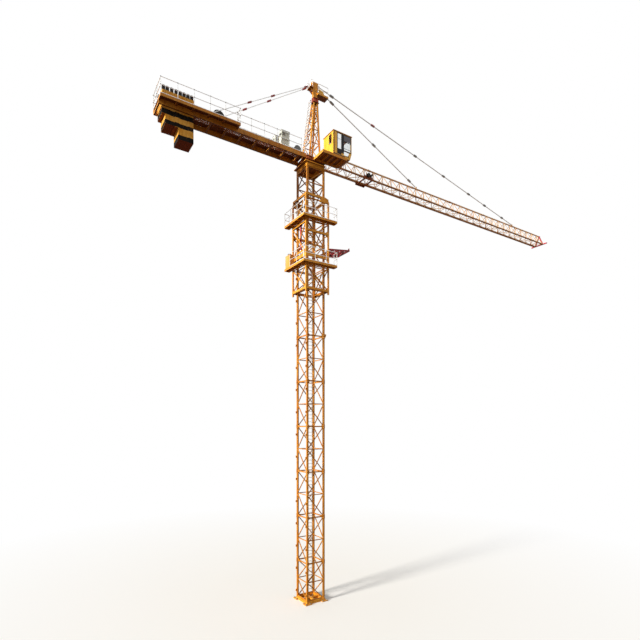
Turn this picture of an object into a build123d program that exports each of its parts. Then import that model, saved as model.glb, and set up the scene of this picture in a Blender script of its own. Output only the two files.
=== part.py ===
"""A fixed tower crane, as a scale model at one half of its real size.

Lengths are model millimetres. +X runs along the jib, -Y is the side of the
cab and +Z is up. The origin is at ground level in the middle of the mast.
"""

import os
from math import atan2, degrees, hypot

from build123d import *

os.makedirs("parts", exist_ok=True)

# Fits and clearances
seat_gap = 0.3
pin_gap = 0.3
running_gap = 5
rail_gap = 1

# Base frame
base_height = 110
base_beam_width = 90
foot_plate_size = 280
foot_plate_thickness = 30
foot_bolt_spacing = 190
foot_bolt_radius = 14

# Mast
mast_width = 800
leg_size = 74
first_joint = 1667
section_height = 1903
joint_count = 9
transition_height = 1309
mast_heavy_bar = 50
mast_light_bar = 32
mast_web_depth = 32
edge_strip = 12
lug_reach = 55
lug_height = 90
lug_thickness = 40
upper_lug_drop = 300
mast_ladder_x = 70
mast_ladder_y = 190
ladder_width = 250
ladder_bar = 20
rung_pitch = 150
mast_ladder_bottom = 250
mast_ladder_stop = 150
leg_bracket_joint = 6
leg_bracket_rise = 105
leg_bracket_height = 210
leg_bracket_lip = 70
leg_bracket_reach = 75

# Slewing seat and turntable
seat_beam_height = 140
seat_beam_width = 150
seat_plate_thickness = 40
seat_rear_overhang = 95
seat_side_overhang = 55
ring_radius = 405
ring_height = 42
slewing_gap = 0.5
turntable_size = 860
turntable_height = 156

# Climbing cage
cage_width = 1090
cage_leg = 60
cage_bottom = 13050
cage_foot_drop = 110
cage_height = 3950
cage_ring_bar = 90
cage_bar = 34
cage_web_depth = 34
cage_ear_radius = 230
cage_work_ring_level = 14475
cage_work_ring_bar = 130
cage_brace_level = 15476
cage_brace_bar = 90
upper_platform_level = 16000
lower_platform_level = 14150
platform_size = 1640
platform_edge_height = 90
platform_edge_width = 24
platform_plate = 12
platform_rib_pitch = 300
platform_rib_count = 4
railing_height = 550
railing_bar = 16
railing_post_pitch = 520
roller_radius = 34
roller_length = 60
roller_axle_radius = 10
roller_cheek = 12

# Climbing cylinder
barrel_radius = 40
barrel_bottom = 14790
barrel_length = 1010
rod_radius = 22
rod_spare = 20
barrel_head_height = 60
barrel_head_width = 130
crosshead_height = 70
crosshead_width = 44
crosshead_joint = 8

# Pump station and introduction frame
pump_length = 380
pump_width = 200
pump_height = 540
pump_rail_gap = 100
intro_length = 1180
intro_rise = 220
intro_tip_width = 820
intro_level = 14870
intro_bays = 4
intro_rail = 56
intro_bar = 36
intro_depth = 60

# Tower head
head_base_length = 520
head_base_width = 680
head_top_length = 160
head_top_width = 180
head_lean = 205
head_height = 2580
head_leg = 56
head_bar = 26
head_panel_tops = (0.28, 0.52, 0.72, 0.87)
collar_height = 190
collar_margin = 12
column_height = 700
column_length = 165
column_width = 150
crown_length = 290
crown_height = 300
head_platform_drop = 150
head_platform_length = 530
head_platform_width = 300
head_platform_thickness = 60
head_railing_height = 400
head_ladder_width = 220
head_ladder_offset = 150

# Jib
jib_tip_x = 16880
jib_root_x = 335
jib_width = 485
jib_height = 543
jib_bays = 30
jib_chord = 60
jib_top_chord = 50
jib_bar = 20
jib_level_over_turntable = 80
runner_reach = 40
runner_thickness = 10
runner_start_x = 520
root_cheek_length = 100
root_cheek_thickness = 12
root_pin_radius = 20
tip_beam_length = 1000
tip_beam_size = 60
tip_block_length = 100
inner_tie_x = 6195
outer_tie_x = 14070

# Ties
tie_bar = 30
tie_coupling = 50
tie_coupling_length = 170
eye_radius = 30
tie_pin_radius = 14
tie_cheek = 14
tie_pivot_reach = 55
outer_pivot_drop = 80
inner_pivot_drop = 200
counter_tie_bar = 20
counter_tie_coupling = 34
counter_pivot_drop = 190
counter_pivot_reach = 50
counter_tie_x = 4700
counter_pivot_y = 55
jib_eye_height = 75

# Counter-jib
counter_length = 6360
counter_width = 750
counter_beam_width = 60
counter_beam_height = 170
counter_frame_rise = 70
counter_cross_bar = 60
counter_cross_pitch = 620
outrigger_height = 70
wide_deck_start = 3460
wide_deck_near_reach = 300
deck_edge_width = 40
deck_edge_height = 95
deck_plate = 12
grating_width = 180
grating_front_x = 700
counter_railing_height = 550
counter_railing_pitch = 580
ladder_clearance = 260

# Counterweights: each stack is (slab count, slab thickness, depth under the beams)
slab_gap = 4
slab_stacks = ((1, 110, 240), (3, 148, 570), (4, 131, 975))
slab_front_x = 5120
slab_bay_gap = 10
slab_side_gap = 8
slab_rise = 380
slab_shoulder = 45
lifting_eye_size = 100
lifting_eye_height = 190
lifting_eye_inset = 60

# Machinery on the counter-jib
winch_x = 4130
winch_length = 560
winch_width = 500
winch_shaft_height = 280
winch_plate = 30
winch_drum_radius = 170
winch_flange_radius = 230
cabinet_x = 1390
cabinet_length = 360
cabinet_depth = 240
cabinet_height = 600
second_cabinet_x = 1510
second_cabinet_length = 240
hood_x = 820
hood_length = 300
hood_width = 320
hood_height = 60

# Cab
cab_rear_x = 435
cab_length = 925
cab_side_y = 365
cab_width = 735
cab_height = 985
cab_wall = 24
cab_roof_thickness = 28
cab_roof_overhang = 14
cab_rake_length = 80
cab_rake_height = 260
cab_glass = 8
cab_post = 55
cab_head_rail = 50
door_pane_start = 205
door_pane_end = 390
door_pane_sill = 110
main_pane_start = 530
main_pane_rise = 60
lower_pane_gap = 40
far_pane_start = 70
far_pane_end = 160
far_pane_sill = 420
rear_pane_start = 150
rear_pane_end = 320
rear_pane_sill = 540
rear_pane_drop = 80
cab_platform_start = 115
cab_platform_end = 1085
cab_platform_width = 720
cab_platform_drop = 25
cab_floor_plate = 24
cab_platform_height = 110
cab_platform_rib_pitch = 240

# Trolley
trolley_x = 2900
trolley_length = 520
wheel_radius = 42
wheel_width = 30
wheel_base = 400
axle_radius = 12
trolley_cheek = 14
trolley_cheek_bottom = 30
trolley_beam = 50
reel_radius = 85
reel_offset = -45
reel_rise = 50
small_reel_radius = 50
small_reel_offset = 130
small_reel_rise = 75
reel_width = 110

# Heights and positions worked out from the sizes above
joint_levels = [first_joint + number * section_height for number in range(joint_count)]
mast_top = joint_levels[-1] + transition_height
mast_levels = [base_height] + joint_levels + [mast_top]
leg_face = (mast_width + leg_size) / 2
seat_top = mast_top + seat_beam_height + seat_plate_thickness
turntable_bottom = seat_top + 2 * ring_height + slewing_gap
turntable_top = turntable_bottom + turntable_height
jib_level = turntable_top + jib_level_over_turntable
frame_top = turntable_top + counter_frame_rise
deck_top = frame_top + deck_plate
cage_face = (cage_width + cage_leg) / 2
cage_inside = (cage_width - cage_leg) / 2
head_top = turntable_top + head_height
column_bottom = head_top + collar_height
crown_top = column_bottom + column_height
column_x = head_lean
crown_front = column_x + crown_length / 2
crown_rear = column_x - crown_length / 2
stroke = section_height / 2
cylinder_x = cage_inside - barrel_radius
crosshead_lug_level = joint_levels[crosshead_joint - 1] - upper_lug_drop
ring_low = cage_bottom + cage_ring_bar / 2
ring_high = cage_bottom + cage_height - cage_ring_bar / 2
side_roller_levels = (ring_low, cage_brace_level)
front_roller_levels = (ring_low, ring_high)
low_floor_bar = lower_platform_level - platform_edge_height - cage_bar / 2
high_floor_bar = upper_platform_level - platform_edge_height - cage_bar / 2
roller_offset = leg_face + roller_radius + seat_gap


def bars(runs, width):
    """Straight bars of one width in the open sketch, each from a start to an end point."""
    kinds = {}
    for start, end in runs:
        step = (round(end[0] - start[0], 3), round(end[1] - start[1], 3))
        kinds.setdefault(step, []).append(((start[0] + end[0]) / 2, (start[1] + end[1]) / 2))
    for (across, up), middles in kinds.items():
        turn = (0, 0, degrees(atan2(up, across)))
        with Locations(*[Location((x, y, 0), turn) for x, y in middles]):
            Rectangle(hypot(across, up), width)


def between(start, end):
    """A value that goes evenly from start to end, as a function of a share from 0 to 1."""
    return lambda share: start + (end - start) * share


def block(low, high, mode=Mode.ADD):
    """A box in the open part between two corners."""
    size = [high[axis] - low[axis] for axis in range(3)]
    with Locations(tuple(low)):
        Box(*size, align=(Align.MIN, Align.MIN, Align.MIN), mode=mode)


def upright_plane(x=None, y=None):
    """A vertical plane whose second direction is up, facing along X or along Y."""
    if x is None:
        return Plane(origin=(0, y, 0), x_dir=(1, 0, 0), z_dir=(0, -1, 0))
    return Plane(origin=(x, 0, 0), x_dir=(0, 1, 0), z_dir=(1, 0, 0))


def finish(part, name):
    """Name one piece and write it out."""
    part.label = name
    export_step(part, "parts/" + name + ".step")


# The base frame ties the four feet together and crosses under the middle of the mast.
with BuildPart() as base_frame:
    with BuildSketch():
        with GridLocations(mast_width, mast_width, 2, 2):
            Rectangle(foot_plate_size, foot_plate_size)
    extrude(amount=foot_plate_thickness)
    with BuildSketch():
        Rectangle(mast_width + base_beam_width, mast_width + base_beam_width)
        Rectangle(mast_width - base_beam_width, mast_width - base_beam_width, mode=Mode.SUBTRACT)
        Rectangle(mast_width, base_beam_width)
        Rectangle(base_beam_width, mast_width)
    extrude(amount=base_height)
    with BuildSketch():
        with GridLocations(mast_width, mast_width, 2, 2):
            with GridLocations(foot_bolt_spacing, foot_bolt_spacing, 2, 2):
                Circle(foot_bolt_radius)
    extrude(amount=foot_plate_thickness, mode=Mode.SUBTRACT)
finish(base_frame.part, "base_frame")


def mast_web_runs(start_side):
    """The light bars of one mast side: a middle bar and two slanted bars in each section."""
    half = mast_width / 2 * start_side
    runs = []
    for low, high in zip(mast_levels, mast_levels[1:]):
        middle = (low + high) / 2
        runs.append(((half, high), (-half, middle)))
        runs.append(((-half, middle), (half, low)))
        runs.append(((-half, middle), (half, middle)))
    return runs


def mast_heavy_runs():
    """The heavy bars of one mast side, at the joints between sections and at both ends."""
    half = mast_width / 2
    inset = mast_heavy_bar / 2
    levels = [mast_levels[0] + inset] + mast_levels[1:-1] + [mast_levels[-1] - inset]
    return [((-half, level), (half, level)) for level in levels]


def lug_tops():
    """The heights of the climbing lugs' bearing faces, two in each section."""
    tops = []
    for level in joint_levels:
        tops.append(level - upper_lug_drop)
        tops.append(level - upper_lug_drop - section_height / 2)
    return tops


def mast_leg_side(plane, start_side):
    """A mast side with its two legs, its bars and the climbing lugs of its rear leg."""
    with BuildPart() as side:
        with BuildSketch(plane) as web:
            bars(mast_web_runs(start_side), mast_light_bar)
            bars(mast_heavy_runs(), mast_heavy_bar)
            with Locations((0, (base_height + mast_top) / 2)):
                Rectangle(mast_width, mast_top - base_height, mode=Mode.INTERSECT)
        extrude(web.sketch, amount=mast_web_depth / 2, both=True)
        with BuildSketch(plane) as legs:
            with Locations((0, (base_height + mast_top) / 2)):
                with GridLocations(mast_width, 0, 2, 1):
                    Rectangle(leg_size, mast_top - base_height)
        extrude(legs.sketch, amount=leg_size / 2, both=True)
        with BuildSketch(plane) as lugs:
            for top in lug_tops():
                with Locations((-leg_face - lug_reach / 2, top - lug_height / 2)):
                    Rectangle(lug_reach, lug_height)
        extrude(lugs.sketch, amount=lug_thickness / 2, both=True)
    return side.part


def mast_web_side(plane, start_side):
    """The bars of a mast side without legs, joined by thin strips along the legs' faces."""
    with BuildPart() as side:
        with BuildSketch(plane) as web:
            bars(mast_web_runs(start_side), mast_light_bar)
            bars(mast_heavy_runs(), mast_heavy_bar)
            with Locations((0, (base_height + mast_top) / 2)):
                with GridLocations(mast_width, 0, 2, 1):
                    Rectangle(leg_size + 2 * edge_strip, mast_top - base_height)
                Rectangle(mast_width - leg_size, mast_top - base_height, mode=Mode.INTERSECT)
        extrude(web.sketch, amount=mast_web_depth / 2, both=True)
    return side.part


finish(mast_leg_side(upright_plane(y=-mast_width / 2), 1), "mast_near_side")
finish(mast_leg_side(upright_plane(y=mast_width / 2), -1), "mast_far_side")
finish(mast_web_side(upright_plane(x=-mast_width / 2), -1), "mast_rear_side")
finish(mast_web_side(upright_plane(x=mast_width / 2), 1), "mast_front_side")

# The ladder climbs inside the mast and hangs on the far side's bars at every section joint.
with BuildPart() as mast_ladder:
    ladder_height = mast_top - mast_ladder_stop - mast_ladder_bottom
    rung_count = int(ladder_height / rung_pitch)
    with BuildSketch(upright_plane(y=mast_ladder_y)):
        with Locations((mast_ladder_x, mast_ladder_bottom + ladder_height / 2)):
            with GridLocations(ladder_width, 0, 2, 1):
                Rectangle(ladder_bar, ladder_height)
            with GridLocations(0, rung_pitch, 1, rung_count):
                Rectangle(ladder_width, ladder_bar)
    extrude(amount=ladder_bar / 2, both=True)
    with BuildSketch(upright_plane(y=mast_ladder_y)) as ladder_brackets:
        for level in joint_levels:
            with Locations((mast_ladder_x, level)):
                with GridLocations(ladder_width, 0, 2, 1):
                    Rectangle(ladder_bar, ladder_bar)
    extrude(ladder_brackets.sketch, amount=mast_ladder_y - (mast_width - mast_web_depth) / 2)
finish(mast_ladder.part, "mast_ladder")

# A small bracket stands out from the front near leg, level with a joint.
with BuildPart() as leg_bracket:
    leg_bracket_level = joint_levels[leg_bracket_joint - 1] + leg_bracket_rise
    with BuildSketch(upright_plane(y=-mast_width / 2)):
        with BuildLine():
            Polyline((leg_face, leg_bracket_level), (leg_face + leg_bracket_reach, leg_bracket_level),
                     (leg_face + leg_bracket_reach, leg_bracket_level - leg_bracket_lip),
                     (leg_face, leg_bracket_level - leg_bracket_height), close=True)
        make_face()
    extrude(amount=leg_size / 2, both=True)
finish(leg_bracket.part, "leg_bracket")

# The slewing seat is a square of beams on the four legs, a plate and the fixed bearing ring.
with BuildPart() as slewing_seat:
    with BuildSketch(Plane.XY.offset(mast_top)):
        Rectangle(2 * leg_face, 2 * leg_face)
        Rectangle(2 * leg_face - 2 * seat_beam_width, 2 * leg_face - 2 * seat_beam_width, mode=Mode.SUBTRACT)
    extrude(amount=seat_beam_height)
    block((-leg_face - seat_rear_overhang, -leg_face - seat_side_overhang, mast_top + seat_beam_height),
          (leg_face, leg_face + seat_side_overhang, seat_top))
    with BuildSketch(Plane.XY.offset(seat_top)):
        Circle(ring_radius)
    extrude(amount=ring_height)
finish(slewing_seat.part, "slewing_seat")

# The turntable carries the moving bearing ring below and the jib's root cheeks above.
with BuildPart() as turntable:
    with BuildSketch(Plane.XY.offset(turntable_bottom - ring_height)):
        Circle(ring_radius)
    extrude(amount=ring_height)
    block((-turntable_size / 2, -turntable_size / 2, turntable_bottom),
          (turntable_size / 2, turntable_size / 2, turntable_top))
    cheek_top = jib_level + jib_chord / 2
    for chord_side in (-1, 1):
        for cheek_side in (-1, 1):
            inner = jib_chord / 2 + seat_gap
            middle_y = chord_side * jib_width / 2 + cheek_side * (inner + root_cheek_thickness / 2)
            block((jib_root_x, middle_y - root_cheek_thickness / 2, turntable_top),
                  (jib_root_x + root_cheek_length, middle_y + root_cheek_thickness / 2, cheek_top))
        with BuildSketch(upright_plane(y=chord_side * jib_width / 2)):
            with Locations((jib_root_x + root_cheek_length / 2, jib_level)):
                Circle(root_pin_radius)
        extrude(amount=jib_chord / 2 + seat_gap + root_cheek_thickness, both=True)
finish(turntable.part, "turntable")


def cage_leg_side(plane, ear_side):
    """A side of the climbing cage: two legs, rings, braces and an ear over one leg."""
    half = cage_width / 2
    top = cage_bottom + cage_height
    foot = cage_bottom - cage_foot_drop
    ear_level = top - cage_ear_radius
    ear_across = ear_side * (cage_face - cage_ear_radius)
    with BuildPart() as side:
        with BuildSketch(plane) as web:
            levels = (low_floor_bar, high_floor_bar)
            bars([((-half, level), (half, level)) for level in levels], cage_bar)
            for low, high in ((ring_low, low_floor_bar), (cage_work_ring_level, cage_brace_level),
                              (high_floor_bar, ring_high)):
                bars([((-half, low), (half, high)), ((half, low), (-half, high))], cage_bar)
        extrude(web.sketch, amount=cage_web_depth / 2, both=True)
        with BuildSketch(plane) as frame:
            with Locations((ear_across, ear_level)):
                Circle(cage_ear_radius)
            with Locations((0, ear_level - cage_ear_radius)):
                Rectangle(2 * cage_face, 2 * cage_ear_radius, mode=Mode.SUBTRACT)
            for leg_side, leg_top in ((ear_side, ear_level), (-ear_side, top)):
                with Locations((leg_side * half, (foot + leg_top) / 2)):
                    Rectangle(cage_leg, leg_top - foot)
            bars([((-ear_side * half, ring_high), (ear_across, ring_high))], cage_ring_bar)
            bars([((-half, ring_low), (half, ring_low))], cage_ring_bar)
            bars([((-half, cage_work_ring_level), (half, cage_work_ring_level))], cage_work_ring_bar)
            bars([((-half, cage_brace_level), (half, cage_brace_level))], cage_brace_bar)
        extrude(frame.sketch, amount=cage_leg / 2, both=True)
    return side.part


# The near side has its ear at the front, the far side at the rear.
finish(cage_leg_side(upright_plane(y=-cage_width / 2), 1), "cage_near_side")
finish(cage_leg_side(upright_plane(y=cage_width / 2), -1), "cage_far_side")


def leg_strips(low, high):
    """Thin strips along the legs of a cage side between two levels; all bars are cut flush with the legs."""
    with Locations((0, (low + high) / 2)):
        with GridLocations(cage_width, 0, 2, 1):
            Rectangle(cage_leg + 2 * edge_strip, high - low)
        Rectangle(2 * cage_inside, high - low, mode=Mode.INTERSECT)


# The rear side of the cage has braces and, over the cylinder, a strong beam.
with BuildPart() as cage_rear_side:
    half_cage = cage_width / 2
    beam_level = barrel_bottom + barrel_length + barrel_head_height / 2
    with BuildSketch(upright_plane(x=-half_cage)):
        bars([((-half_cage, low_floor_bar), (half_cage, low_floor_bar))], cage_bar)
        for low, high in ((ring_low, low_floor_bar), (cage_work_ring_level, beam_level),
                          (beam_level, ring_high)):
            bars([((-half_cage, low), (half_cage, high)), ((half_cage, low), (-half_cage, high))], cage_bar)
        leg_strips(cage_bottom, cage_bottom + cage_height)
    extrude(amount=cage_web_depth / 2, both=True)
    with BuildSketch(upright_plane(x=-half_cage)):
        for level in (ring_low, beam_level, ring_high):
            bars([((-half_cage, level), (half_cage, level))], cage_ring_bar)
        bars([((-half_cage, cage_work_ring_level), (half_cage, cage_work_ring_level))], cage_work_ring_bar)
        with Locations((0, cage_bottom + cage_height / 2)):
            Rectangle(2 * cage_inside, cage_height, mode=Mode.INTERSECT)
    extrude(amount=cage_leg / 2, both=True)
finish(cage_rear_side.part, "cage_rear_side")


# The front side is open between the platforms, where new mast sections come in.
def cage_front(low, high, ring_level, runs):
    """A part of the cage's front side: a ring bar, lighter bars and strips along the legs."""
    with BuildPart() as front:
        with BuildSketch(upright_plane(x=cage_width / 2)) as web:
            bars(runs, cage_bar)
            leg_strips(low, high)
        extrude(web.sketch, amount=cage_web_depth / 2, both=True)
        with BuildSketch(upright_plane(x=cage_width / 2)) as ring:
            with Locations((0, ring_level)):
                Rectangle(2 * cage_inside, cage_ring_bar)
        extrude(ring.sketch, amount=cage_leg / 2, both=True)
    return front.part


finish(cage_front(cage_bottom, low_floor_bar + cage_bar / 2, ring_low,
                  [((-half_cage, low_floor_bar), (half_cage, low_floor_bar)),
                   ((-half_cage, ring_low), (half_cage, low_floor_bar)),
                   ((half_cage, ring_low), (-half_cage, low_floor_bar))]), "cage_front_low")
finish(cage_front(high_floor_bar - cage_bar / 2, cage_bottom + cage_height, ring_high,
                  [((-half_cage, high_floor_bar), (half_cage, high_floor_bar))]), "cage_front_high")


def roller_fork(plane, across, level, inward):
    """Two cheeks and an axle for one guide roller, on the inner face of a cage side."""
    face = inward * cage_leg / 2
    reach = cage_width / 2 - roller_offset
    with BuildSketch(plane.offset(face)) as cheeks:
        with Locations((across, level)):
            with GridLocations(roller_length + 2 * seat_gap + roller_cheek, 0, 2, 1):
                Rectangle(roller_cheek, 2 * roller_axle_radius)
    extrude(cheeks.sketch, amount=inward * (reach + roller_axle_radius) - face)
    middle = plane.origin + plane.z_dir * (inward * reach) + plane.x_dir * across + Vector(0, 0, level)
    with BuildSketch(Plane(origin=middle, x_dir=(0, 0, 1), z_dir=plane.x_dir)) as axle:
        Circle(roller_axle_radius)
    extrude(axle.sketch, amount=roller_length / 2 + roller_cheek, both=True)


with BuildPart() as cage_roller_forks:
    for across in (-mast_width / 2, mast_width / 2):
        for level in side_roller_levels:
            roller_fork(upright_plane(y=-cage_width / 2), across, level, -1)
            roller_fork(upright_plane(y=cage_width / 2), across, level, 1)
        for level in front_roller_levels:
            roller_fork(upright_plane(x=cage_width / 2), across, level, -1)
finish(cage_roller_forks.part, "cage_roller_forks")

# Guide rollers run on the outer faces of the mast legs.
with BuildPart() as cage_rollers:
    for across in (-mast_width / 2, mast_width / 2):
        with BuildSketch(Plane.YZ.offset(across)) as side_rollers:
            for level in side_roller_levels:
                with Locations((-roller_offset, level), (roller_offset, level)):
                    Circle(roller_radius)
                    Circle(roller_axle_radius + pin_gap, mode=Mode.SUBTRACT)
        extrude(side_rollers.sketch, amount=roller_length / 2, both=True)
        with BuildSketch(upright_plane(y=across)) as front_rollers:
            for level in front_roller_levels:
                with Locations((roller_offset, level)):
                    Circle(roller_radius)
                    Circle(roller_axle_radius + pin_gap, mode=Mode.SUBTRACT)
        extrude(front_rollers.sketch, amount=roller_length / 2, both=True)
finish(cage_rollers.part, "cage_rollers")


def walkway_outline(inset):
    """The corners of a walkway along the near and rear sides of the cage, drawn in by an inset."""
    outer = platform_size / 2 - inset
    inner = cage_face + inset
    return [(-outer, -outer), (outer, -outer), (outer, -inner),
            (-inner, -inner), (-inner, outer), (-outer, outer)]


def cage_platform(level):
    """A working platform along two sides of the cage: a floor plate on edge beams and ribs."""
    with BuildPart() as platform:
        with BuildSketch(Plane.XY.offset(level - platform_plate)) as floor:
            Polygon(*walkway_outline(0), align=None)
        extrude(floor.sketch, amount=platform_plate)
        with BuildSketch(Plane.XY.offset(level - platform_edge_height)) as frame:
            Polygon(*walkway_outline(0), align=None)
            Polygon(*walkway_outline(platform_edge_width), align=None, mode=Mode.SUBTRACT)
            with GridLocations(platform_rib_pitch, 0, platform_rib_count, 1):
                Rectangle(platform_edge_width, platform_size)
            with GridLocations(0, platform_rib_pitch, 1, platform_rib_count):
                Rectangle(platform_size, platform_edge_width)
            Polygon(*walkway_outline(0), align=None, mode=Mode.INTERSECT)
        extrude(frame.sketch, amount=platform_edge_height - platform_plate)
    return platform.part


finish(cage_platform(upper_platform_level), "cage_upper_platform")
finish(cage_platform(lower_platform_level), "cage_lower_platform")


def railing_panel(start, end, level, height, pitch):
    """A flat run of railing in the open part: posts, a top rail, a middle rail and a toe rail."""
    along = Vector(*end) - Vector(*start)
    length = along.length
    plane = Plane(origin=(start[0], start[1], level), x_dir=along, z_dir=along.cross(Vector(0, 0, 1)))
    spaces = max(1, round(length / pitch))
    with BuildSketch(plane) as panel:
        for share in (0, 1 / 2, 1):
            rail_height = railing_bar / 2 + (height - railing_bar) * share
            bars([((0, rail_height), (length, rail_height))], railing_bar)
        for number in range(spaces + 1):
            post_across = length * number / spaces
            bars([((post_across, 0), (post_across, height))], railing_bar)
    extrude(panel.sketch, amount=railing_bar / 2, both=True)


rail_line = (platform_size - railing_bar) / 2
rail_end = rail_line - railing_bar - rail_gap
rail_stop = cage_face + railing_bar


def near_railings(level):
    """The railing along the near edge of a platform and across its front end."""
    railing_panel((-rail_line, -rail_line), (rail_line, -rail_line),
                  level, railing_height, railing_post_pitch)
    railing_panel((rail_line, -rail_end), (rail_line, -rail_stop),
                  level, railing_height, railing_post_pitch)


# The upper railing closes every outer edge.
with BuildPart() as cage_upper_railing:
    near_railings(upper_platform_level)
    railing_panel((-rail_line, -rail_end), (-rail_line, rail_end),
                  upper_platform_level, railing_height, railing_post_pitch)
    railing_panel((-rail_line, rail_line), (-rail_stop, rail_line),
                  upper_platform_level, railing_height, railing_post_pitch)
finish(cage_upper_railing.part, "cage_upper_railing")

# The lower railing leaves room for the pump station.
with BuildPart() as cage_lower_railing:
    near_railings(lower_platform_level)
    railing_panel((-rail_line, -rail_end), (-rail_line, platform_size / 2 - pump_length - pump_rail_gap),
                  lower_platform_level, railing_height, railing_post_pitch)
finish(cage_lower_railing.part, "cage_lower_railing")

# The cylinder hangs from the rear beam of the cage by its head block.
with BuildPart() as climbing_cylinder:
    with BuildSketch(Plane.XY.offset(barrel_bottom)):
        with Locations((-cylinder_x, 0)):
            Circle(barrel_radius)
    extrude(amount=barrel_length)
    barrel_top = barrel_bottom + barrel_length
    block((-cage_inside, -barrel_head_width / 2, barrel_top),
          (-cylinder_x + barrel_radius, barrel_head_width / 2, barrel_top + barrel_head_height))
    with BuildSketch(Plane.XY.offset(barrel_bottom)):
        with Locations((-cylinder_x, 0)):
            Circle(rod_radius + pin_gap)
    extrude(amount=stroke + 2 * rod_spare, mode=Mode.SUBTRACT)
finish(climbing_cylinder.part, "climbing_cylinder")

# The rod ends in a crosshead that rests on the lugs of both rear legs.
with BuildPart() as climbing_crosshead:
    crosshead_top = crosshead_lug_level + crosshead_height
    block((-cylinder_x - crosshead_width / 2, -(mast_width + lug_thickness) / 2, crosshead_lug_level),
          (-cylinder_x + crosshead_width / 2, (mast_width + lug_thickness) / 2, crosshead_top))
    with BuildSketch(Plane.XY.offset(crosshead_top)):
        with Locations((-cylinder_x, 0)):
            Circle(rod_radius)
    extrude(amount=barrel_bottom + stroke + rod_spare - crosshead_top)
finish(climbing_crosshead.part, "climbing_crosshead")

# The pump station stands on the lower platform's rear far corner.
with BuildPart() as pump_station:
    pump_side = platform_size / 2 - railing_bar - running_gap
    block((-cage_face - running_gap - pump_width, pump_side - pump_length, lower_platform_level),
          (-cage_face - running_gap, pump_side, lower_platform_level + pump_height))
finish(pump_station.part, "pump_station")

# The introduction frame stands out from the front legs of the cage and rises towards its tip.
with BuildPart() as introduction_frame:
    run = hypot(intro_length, intro_rise)
    half_width = between(cage_width / 2, intro_tip_width / 2)
    intro_plane = Plane(origin=(cage_face, 0, intro_level), x_dir=(intro_length, 0, intro_rise),
                        z_dir=(-intro_rise, 0, intro_length))
    with BuildSketch(intro_plane):
        hidden_share = -intro_rail / run
        bars([((-intro_rail, side * half_width(hidden_share)), (run, side * half_width(1)))
              for side in (-1, 1)], intro_rail)
        bars([((run - intro_rail / 2, -half_width(1)), (run - intro_rail / 2, half_width(1)))], intro_rail)
        for number in range(intro_bays):
            low = number / intro_bays
            high = (number + 1) / intro_bays
            bars([((run * low, turn * half_width(low)), (run * high, -turn * half_width(high)))
                  for turn in (-1, 1)], intro_bar)
            bars([((run * high, -half_width(high)), (run * high, half_width(high)))], intro_bar)
        with Locations((run / 2, 0)):
            Rectangle(run + 2 * intro_rail, cage_width + intro_rail, mode=Mode.INTERSECT)
    extrude(amount=intro_depth / 2, both=True)
    split(bisect_by=Plane.YZ.offset(cage_face), keep=Keep.TOP)
    split(bisect_by=Plane.YZ.offset(cage_face + intro_length), keep=Keep.BOTTOM)
finish(introduction_frame.part, "introduction_frame")


def head_runs(left, right, slope):
    """Zigzag and level bars between two leg lines of the tower head."""
    shares = (0,) + head_panel_tops + (1,)
    runs = []
    for number, (low, high) in enumerate(zip(shares, shares[1:])):
        first, second = (left, right) if number % 2 == 0 else (right, left)
        runs.append(((first(low), low * slope), (second(high), high * slope)))
        runs.append(((left(high), high * slope), (right(high), high * slope)))
    return runs


def head_leg_side(side):
    """The near or far side of the tower head, with its two legs, cut level at both ends."""
    lean = (head_base_width - head_top_width) / 2
    slope = hypot(lean, head_height)
    left = between(-head_base_length / 2, head_lean - head_top_length / 2)
    right = between(head_base_length / 2, head_lean + head_top_length / 2)
    plane = Plane(origin=(0, side * head_base_width / 2, turntable_top), x_dir=(1, 0, 0),
                  z_dir=Vector(1, 0, 0).cross(Vector(0, -side * lean, head_height)))
    with BuildPart() as leg_side:
        with BuildSketch(plane) as web:
            bars(head_runs(left, right, slope), head_bar)
        extrude(web.sketch, amount=head_bar / 2, both=True)
        with BuildSketch(plane) as legs:
            over = head_leg / slope
            bars([((line(-over), -over * slope), (line(1 + over), (1 + over) * slope))
                  for line in (left, right)], head_leg)
        extrude(legs.sketch, amount=head_leg / 2, both=True)
        split(bisect_by=Plane.XY.offset(turntable_top), keep=Keep.TOP)
        split(bisect_by=Plane.XY.offset(head_top), keep=Keep.BOTTOM)
    return leg_side.part


def head_web_side(side):
    """The rear or front side of the tower head, cut flush with the inner faces of its legs."""
    foot_x = side * head_base_length / 2
    shift = head_lean + side * (head_top_length - head_base_length) / 2
    slope = hypot(shift, head_height)
    left = between(-head_base_width / 2, -head_top_width / 2)
    right = between(head_base_width / 2, head_top_width / 2)
    lean = (head_base_width - head_top_width) / 2
    leg_cut = head_leg / 2 * hypot(lean, head_height) / head_height + seat_gap
    plane = Plane(origin=(foot_x, 0, turntable_top), x_dir=(0, 1, 0),
                  z_dir=Vector(0, 1, 0).cross(Vector(shift, 0, head_height)))
    with BuildPart() as web_side:
        with BuildSketch(plane) as web:
            bars(head_runs(left, right, slope), head_bar)
            bars([((line(0), 0), (line(1), slope)) for line in (left, right)], 2 * (leg_cut + edge_strip))
            corners = [(left(0) + leg_cut, 0), (right(0) - leg_cut, 0),
                       (right(1) - leg_cut, slope), (left(1) + leg_cut, slope)]
            Polygon(*corners, align=None, mode=Mode.INTERSECT)
        extrude(web.sketch, amount=head_bar / 2, both=True)
        split(bisect_by=Plane.XY.offset(turntable_top), keep=Keep.TOP)
        split(bisect_by=Plane.XY.offset(head_top), keep=Keep.BOTTOM)
    return web_side.part


finish(head_leg_side(-1), "head_near_side")
finish(head_leg_side(1), "head_far_side")
finish(head_web_side(-1), "head_rear_side")
finish(head_web_side(1), "head_front_side")

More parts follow.
